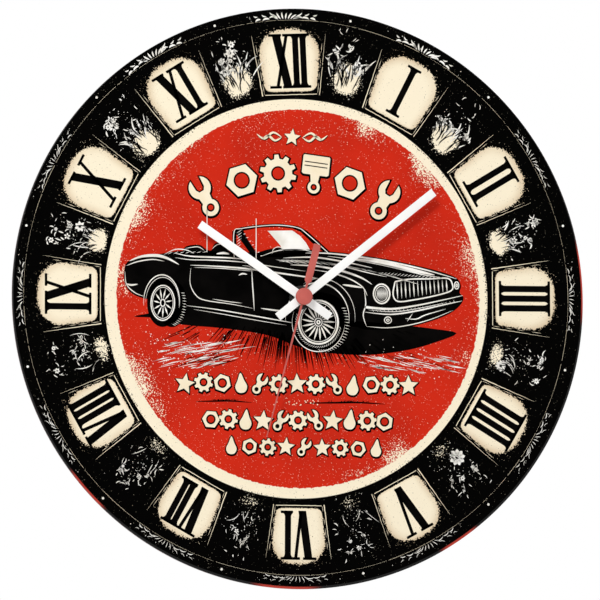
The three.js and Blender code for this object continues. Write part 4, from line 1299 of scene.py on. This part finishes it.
def add_sign(outline, centre, turn=0.0, size=1.0, border=0.95, holes=()):
    """A sign at centre, turned clockwise; holes are (x, z, radius)."""
    a = math.radians(turn)

    def put(points, drop_x=0.0, drop_z=0.0):
        return [(centre[0] + drop_x + size * (x * math.cos(a) + z * math.sin(a)),
                 centre[1] + drop_z + size * (z * math.cos(a) - x * math.sin(a)))
                for x, z in points]

    add_shape(sign_back, put(grown(outline, border / size), 0.12, -0.3))
    add_shape(sign_front, put(outline))
    for x, z, reach in holes:
        add_shape(sign_hole, put(ellipse((x, z), reach, reach, 20)))
        if reach * size > 1.2:
            add_shape(sign_red, put(ellipse((x, z), reach - 0.8 / size, reach - 0.8 / size, 20)))


# %% Signs in an arch
arch_centre = (-3.0, -31.5)
arch_radius = 95.5
arch = [
    (spanner(), -30.5, 1.14, [(0, -5.6, 1.9)]),
    (nut(8.6), -17.4, 1.0, [(0, 0, 4.4)]),
    (gear(9.8, 10), -5.4, 1.0, [(0, 0, 3.8)]),
    (piston(), 6.6, 1.14, [(0, -5.8, 1.5)]),
    (nut(8.6), 18.2, 1.0, [(0, 0, 4.4)]),
    (spanner(), 30.6, 1.14, [(0, -5.6, 1.9)]),
]
for outline, turn, size, holes in arch:
    a = math.radians(turn)
    add_sign(outline, turned(arch_centre, a, arch_radius), turn, size, holes=holes)
piston_turn = arch[3][1]
for ring_at in (6.2, 4.2):
    groove = [on_dial(piston_turn, u, arch_radius + ring_at) for u in (-6.2, 0, 6.2)]
    add_stroke(sign_hole, [(arch_centre[0] + x, arch_centre[1] + z) for x, z in groove], 0.5)

# %% Rows of signs below, and the flourish above
rows = [
    (-45.2, -62.0, 58.5, 5.1, "sgndwgsgwdngs"),
    (-63.8, -48.0, 45.5, 5.1, "ngdswgwsdgn"),
    (-77.6, -37.0, 41.0, 4.5, "dngswsgnd"),
]
row_border = 0.75
for height_z, left, right, size, pattern in rows:
    step = (right - left) / (len(pattern) - 1)
    small_signs = {  # outline, how far it may be turned either way, holes
        "g": (gear(size, 8), 20, [(0, 0, 0.42 * size)]),
        "n": (nut(0.92 * size), 25, [(0, 0, 0.5 * size)]),
        "d": (drop(0.95 * size), 10, []),
        "s": (star(1.08 * size), 12, []),
    }
    for i, kind in enumerate(pattern):
        centre = (left + step * i, height_z + pen.uniform(-0.5, 0.5))
        if kind == "w":
            lean = 32 if 2 * i < len(pattern) else -32
            add_sign(spanner(), centre, lean, 0.115 * size, row_border, [(0, -5.6, 1.9)])
        else:
            outline, swing, holes = small_signs[kind]
            add_sign(outline, centre, pen.uniform(-swing, swing), 1.0, row_border, holes)
top_star = (-4.4, 82.4)
add_sign(star(4.6), top_star, 6, border=0.45)
for hand in (-1, 1):
    for reach, rise in ((13.5, 2.4), (10.5, -1.8)):
        path = smooth([(top_star[0] + hand * (5.6 + along * reach), top_star[1] + lift * rise)
                       for along, lift in ((0, 0), (0.35, 1), (0.7, -0.4), (1, 0.6))], 4)
        add_stroke(sign_back, [(x + 0.25, z - 0.35) for x, z in path], 1.5, taper="both")
        add_stroke(sign_front, path, 1.15, taper="both")

# %% Rule between the rows
rule_height = -54.6
left_rule = [(-56, -54.7), (-46, -54.4), (-38, -54.2), (-26, -54.9)]
right_rule = [(2, -54.9), (18, -54.5), (30, -54.2), (46, -54.9)]
for points, width in ((left_rule, 0.9), (right_rule, 1.0)):
    add_stroke(sign_back, smooth(points, 4), width, "both")
for _ in range(34):
    u = pen.choice((pen.uniform(-48, -34), pen.uniform(12, 38)))
    add_stroke(sign_back, [(u, rule_height), (u + pen.uniform(-1.6, 1.6), rule_height + 1.0),
                           (u + pen.uniform(-1, 1), rule_height + pen.uniform(0.8, 1.7))],
               0.4, taper="both")
for _ in range(22):
    speck(sign_front, (pen.uniform(-15, 10), rule_height + pen.uniform(-1.4, 1.4)),
          pen.uniform(0.4, 1.0))

red_ink = flat_ink("red_ink", RED, DEEP_RED, 0.5)
print_sheet("ink_sign_borders", sign_back, 0, black_ink)
print_sheet("ink_signs", sign_front, 1, cream_ink)
print_sheet("ink_sign_holes", sign_hole, 2, black_ink)
print_sheet("ink_sign_grounds", sign_red, 3, red_ink)

# %% [markdown]
# ## Finishes for the metal, plastic and rubber
#
# Real surfaces drift. One helper makes a finish that moves slowly between two near colours,
# changes its gloss in the same patches, and carries a fine relief whose scale and direction
# set it apart: brushing is a stretched relief, spark-eroded plastic a fine even one, rubber
# a coarse dull one. Every finish below is this helper with its own values.

# %% A worked surface


def worked(name, colour, second, roughness, metallic=0.0, scale=60.0, relief=0.25,
           depth=0.03, grain=(1, 1, 1), specular=0.5):
    """A finish that drifts from colour to second; grain stretches its relief."""
    material, its_tree, its_shader = new_material(name, colour, roughness, metallic, specular)
    its_place = add_node(its_tree, "ShaderNodeMapping", {
        "Vector": object_place(its_tree), "Scale": grain}).outputs[0]
    drift = mottled(its_tree, its_place, scale)
    feed(its_tree, its_shader, {
        "Base Color": mix_colour(its_tree, ramp(its_tree, drift["Value"], 0.32, 0.68),
                                 colour, second),
        "Roughness": ramp(its_tree, drift["Fine"], 0.3, 0.7, max(roughness - 0.08, 0.05),
                          roughness + 0.1),
        "Normal": bump(its_tree, drift["Fine"], relief, depth)})
    return material


finishes = {
    "hand_white": worked("white_enamel", (0.95, 0.94, 0.92), (0.90, 0.885, 0.86), 0.38,
                         scale=90, relief=0.12, depth=0.02),
    "hand_red": worked("red_enamel", (0.54, 0.105, 0.082), (0.48, 0.084, 0.066), 0.42,
                       scale=120, relief=0.15, depth=0.02),
    "case_plastic": worked("spark_eroded_black", (0.014, 0.014, 0.015), (0.021, 0.021, 0.022),
                           0.52, scale=110, relief=0.7, depth=0.06),
    "inner_plastic": worked("natural_acetal", (0.80, 0.78, 0.71), (0.74, 0.71, 0.62), 0.42,
                            scale=150, relief=0.15),
    "knob_plastic": worked("knob_moulding", (0.78, 0.77, 0.73), (0.70, 0.685, 0.64), 0.45,
                           scale=160, relief=0.3),
    "brass": worked("turned_brass", (0.78, 0.55, 0.22), (0.66, 0.44, 0.16), 0.3, 1.0,
                    scale=60, relief=0.35, grain=(1, 14, 1)),
    "black_metal": worked("black_lacquer", (0.012, 0.012, 0.013), (0.03, 0.028, 0.026), 0.36,
                          0.3, scale=140, relief=0.2),
    "zinc_steel": worked("zinc_plate", (0.62, 0.63, 0.65), (0.48, 0.50, 0.53), 0.34, 1.0,
                         scale=120, relief=0.3, grain=(1, 1, 6)),
    "copper_wire": worked("wound_wire", (0.72, 0.28, 0.11), (0.50, 0.17, 0.06), 0.32, 0.9,
                          scale=40, relief=1.0, depth=0.08, grain=(30, 1, 1)),
    "rubber": worked("moulded_rubber", (0.02, 0.02, 0.019), (0.035, 0.034, 0.032), 0.78,
                     scale=130, relief=0.6, depth=0.05),
    "ferrite": worked("sintered_ferrite", (0.05, 0.05, 0.052), (0.08, 0.078, 0.075), 0.6,
                      scale=200, relief=0.6, depth=0.04),
    "circuit": worked("solder_resist", (0.014, 0.13, 0.045), (0.01, 0.09, 0.03), 0.3,
                      scale=180, relief=0.3),
}
print("finishes:", len(finishes))

# %% [markdown]
# ## The cell's sleeve
#
# A dry cell wears a printed shrink sleeve over its steel can. This one is plain: a grey
# body, a blue band towards the positive end and a bare rim at both ends. The bands are
# picked by the distance along the cell, and fine lengthwise scuffs break up the gloss.

# %% Sleeve finish
cell_low, cell_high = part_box("dry_cell")
band_start = 0.70
seam_half = 0.012
sleeve, tree, shader = new_material("cell_sleeve", (0.42, 0.43, 0.44), 0.25, metallic=0.4)
place = object_place(tree)
lengthwise = add_node(tree, "ShaderNodeMapping", {"Vector": place, "Scale": (1, 8, 8)})
drift = mottled(tree, lengthwise.outputs[0], 80.0)
along = add_node(tree, "ShaderNodeMapRange", {
    "Value": split(tree, place)[0], "From Min": cell_low[0],
    "From Max": cell_high[0]}).outputs["Result"]
body_tone = mix_colour(tree, ramp(tree, drift["Value"], 0.3, 0.7),
                       (0.40, 0.41, 0.43), (0.33, 0.34, 0.36))
band = maths(tree, "GREATER_THAN", along, band_start)
banded = mix_colour(tree, band, body_tone, (0.02, 0.085, 0.24))
from_band = maths(tree, "ABSOLUTE", maths(tree, "SUBTRACT", along, band_start))
seam = maths(tree, "LESS_THAN", from_band, seam_half)
lined = mix_colour(tree, seam, banded, (0.85, 0.85, 0.83))
bare_end = maths(tree, "MAXIMUM", maths(tree, "GREATER_THAN", along, 0.955),
                 maths(tree, "LESS_THAN", along, 0.03))
feed(tree, shader, {
    "Base Color": mix_colour(tree, bare_end, lined, (0.68, 0.69, 0.70)),
    "Metallic": maths(tree, "MULTIPLY_ADD", bare_end, 0.55, 0.4),
    "Roughness": ramp(tree, drift["Fine"], 0.3, 0.7, 0.18, 0.36)})
finishes["cell_sleeve"] = sleeve
print("cell from", round(cell_low[0], 4), "to", round(cell_high[0], 4))

# %% [markdown]
# ## Finer copies of the parts that show
#
# The frame's solids have the right shapes but knife-sharp edges, and nothing stamped,
# moulded or turned has those. Each part that shows is copied, its loose triangles are merged
# into whole faces, and a small bevel catches the light along its edges. The frame's own part
# is then hidden and the copy rides in its place. The movement's inner parts, which never
# see the light, keep their solids and only get their finishes.

# %% Bevelled copies


def finer(node, width, recess=None):
    """A merged copy of a node, its edges bevelled by width in mm; recess is sunk into it."""
    piece = link_mesh(node + "_fine", nodes[node].data.copy())
    select_only(piece)
    bpy.ops.object.mode_set(mode="EDIT")
    bpy.ops.mesh.select_all(action="SELECT")
    bpy.ops.mesh.remove_doubles(threshold=0.002 * mm)
    bpy.ops.mesh.dissolve_limited(angle_limit=math.radians(0.5))
    bpy.ops.object.mode_set(mode="OBJECT")
    if recess:
        cut_away(piece, recess)
    for polygon in piece.data.polygons:
        polygon.use_smooth = False
    soften(piece, width * mm, bevel_angle=30, smooth_angle=28)
    return piece


body_of_node = {node: body for body, its_nodes in frame["record"]["behaviour"]["bodies"].items()
                for node in its_nodes}
slot_of_node = {entry["node"]: entry["material_slot"] for entry in frame["record"]["subparts"]}

edge_widths = {
    "hour_hand": 0.12, "minute_hand": 0.12, "second_hand": 0.08, "second_hand_cap": 0.06,
    "mounting_nut": 0.3, "flat_washer": 0.1, "threaded_bushing": 0.12, "rubber_gasket": 0.2,
    "hanger_plate": 0.12, "rear_cover": 0.3, "front_case": 0.3, "setting_knob": 0.2,
    "dry_cell": 0.12, "positive_contact": 0.06, "negative_contact": 0.06,
}
cover_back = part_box("rear_cover")[1][1]
bpy.ops.mesh.primitive_cube_add(size=1, location=(3 * mm, cover_back, 9.5 * mm))
label_recess = bpy.context.object
label_recess.scale = (25 * mm, 0.8 * mm, 20 * mm)
bpy.ops.object.transform_apply(location=True, rotation=True, scale=True)
apply_modifier(label_recess, "BEVEL", width=0.35 * mm, segments=2)

fine_pieces = {}
for node, width in edge_widths.items():
    piece = finer(node, width, recess=label_recess if node == "rear_cover" else None)
    finish_piece(piece, finishes[slot_of_node[node]], body_of_node[node], slot_of_node[node],
                 node)
    fine_pieces[node] = piece
print("finer pieces:", {node: len(piece.data.polygons) for node, piece in fine_pieces.items()})

# %% Finishes on the parts that keep their solids
replaced = set(edge_widths) | {"dial_board", "dial_print"}
for node, obj in nodes.items():
    if node in replaced:
        continue
    finish = finishes[slot_of_node[node]]
    if not obj.material_slots:
        obj.data.materials.append(finish)
    for material_slot in obj.material_slots:
        material_slot.material = finish
print("dressed solids:", len(nodes) - len(replaced))

# %% [markdown]
# ## Marks on the back
#
# The maker of a movement prints a few plain signs on its back: which way the cell goes in,
# and which way the knob sets the hands. They are pad printed in pale ink, so they are the
# same thin layers as on the dial, only turned to face the wall.

# %% Pad print
knob_low, knob_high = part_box("setting_knob")
knob_at = ((knob_low[0] + knob_high[0]) / 2 / mm, (knob_low[2] + knob_high[2]) / 2 / mm)
arrow_radius = 7.3
arrow_span = 118
marks = new_sheet()
for start in (20, 200):
    angles = sweep(start, start + arrow_span, 18)
    add_stroke(marks, [turned(knob_at, a, arrow_radius) for a in angles], 0.5)
    tip_angle = math.radians(start + arrow_span)
    tip = turned(knob_at, tip_angle, arrow_radius)
    ahead = (math.cos(tip_angle), -math.sin(tip_angle))
    out = (math.sin(tip_angle), math.cos(tip_angle))
    add_shape(marks, [(tip[0] + 0.8 * out[0], tip[1] + 0.8 * out[1]),
                      (tip[0] + 1.5 * ahead[0], tip[1] + 1.5 * ahead[1]),
                      (tip[0] - 0.8 * out[0], tip[1] - 0.8 * out[1])])
sign_height = -12.0
plus_and_minus = (((19.4, 0), (22.2, 0)), ((20.8, -1.4), (20.8, -0.25)),
                  ((20.8, 0.25), (20.8, 1.4)), ((-22.2, 0), (-19.4, 0)))
for ends in plus_and_minus:
    add_stroke(marks, [(u, sign_height + v) for u, v in ends], 0.5)
pale_print = flat_ink("pale_print", (0.42, 0.42, 0.41), (0.33, 0.33, 0.32), 0.5)
mesh = bpy.data.meshes.new("rear_marks")
mesh.from_pydata([(x * mm, cover_back + 0.005 * mm, z * mm) for x, z in marks["points"]],
                 [], marks["faces"])
rear_marks = link_mesh("rear_marks", mesh)
for polygon in mesh.polygons:
    if polygon.normal.y < 0:
        polygon.flip()
mesh.update()
apply_modifier(rear_marks, "SOLIDIFY", thickness=0.02 * mm, offset=1.0)
finish_piece(rear_marks, pale_print, "case", "case_plastic")
print("rear marks", len(mesh.polygons), "faces")
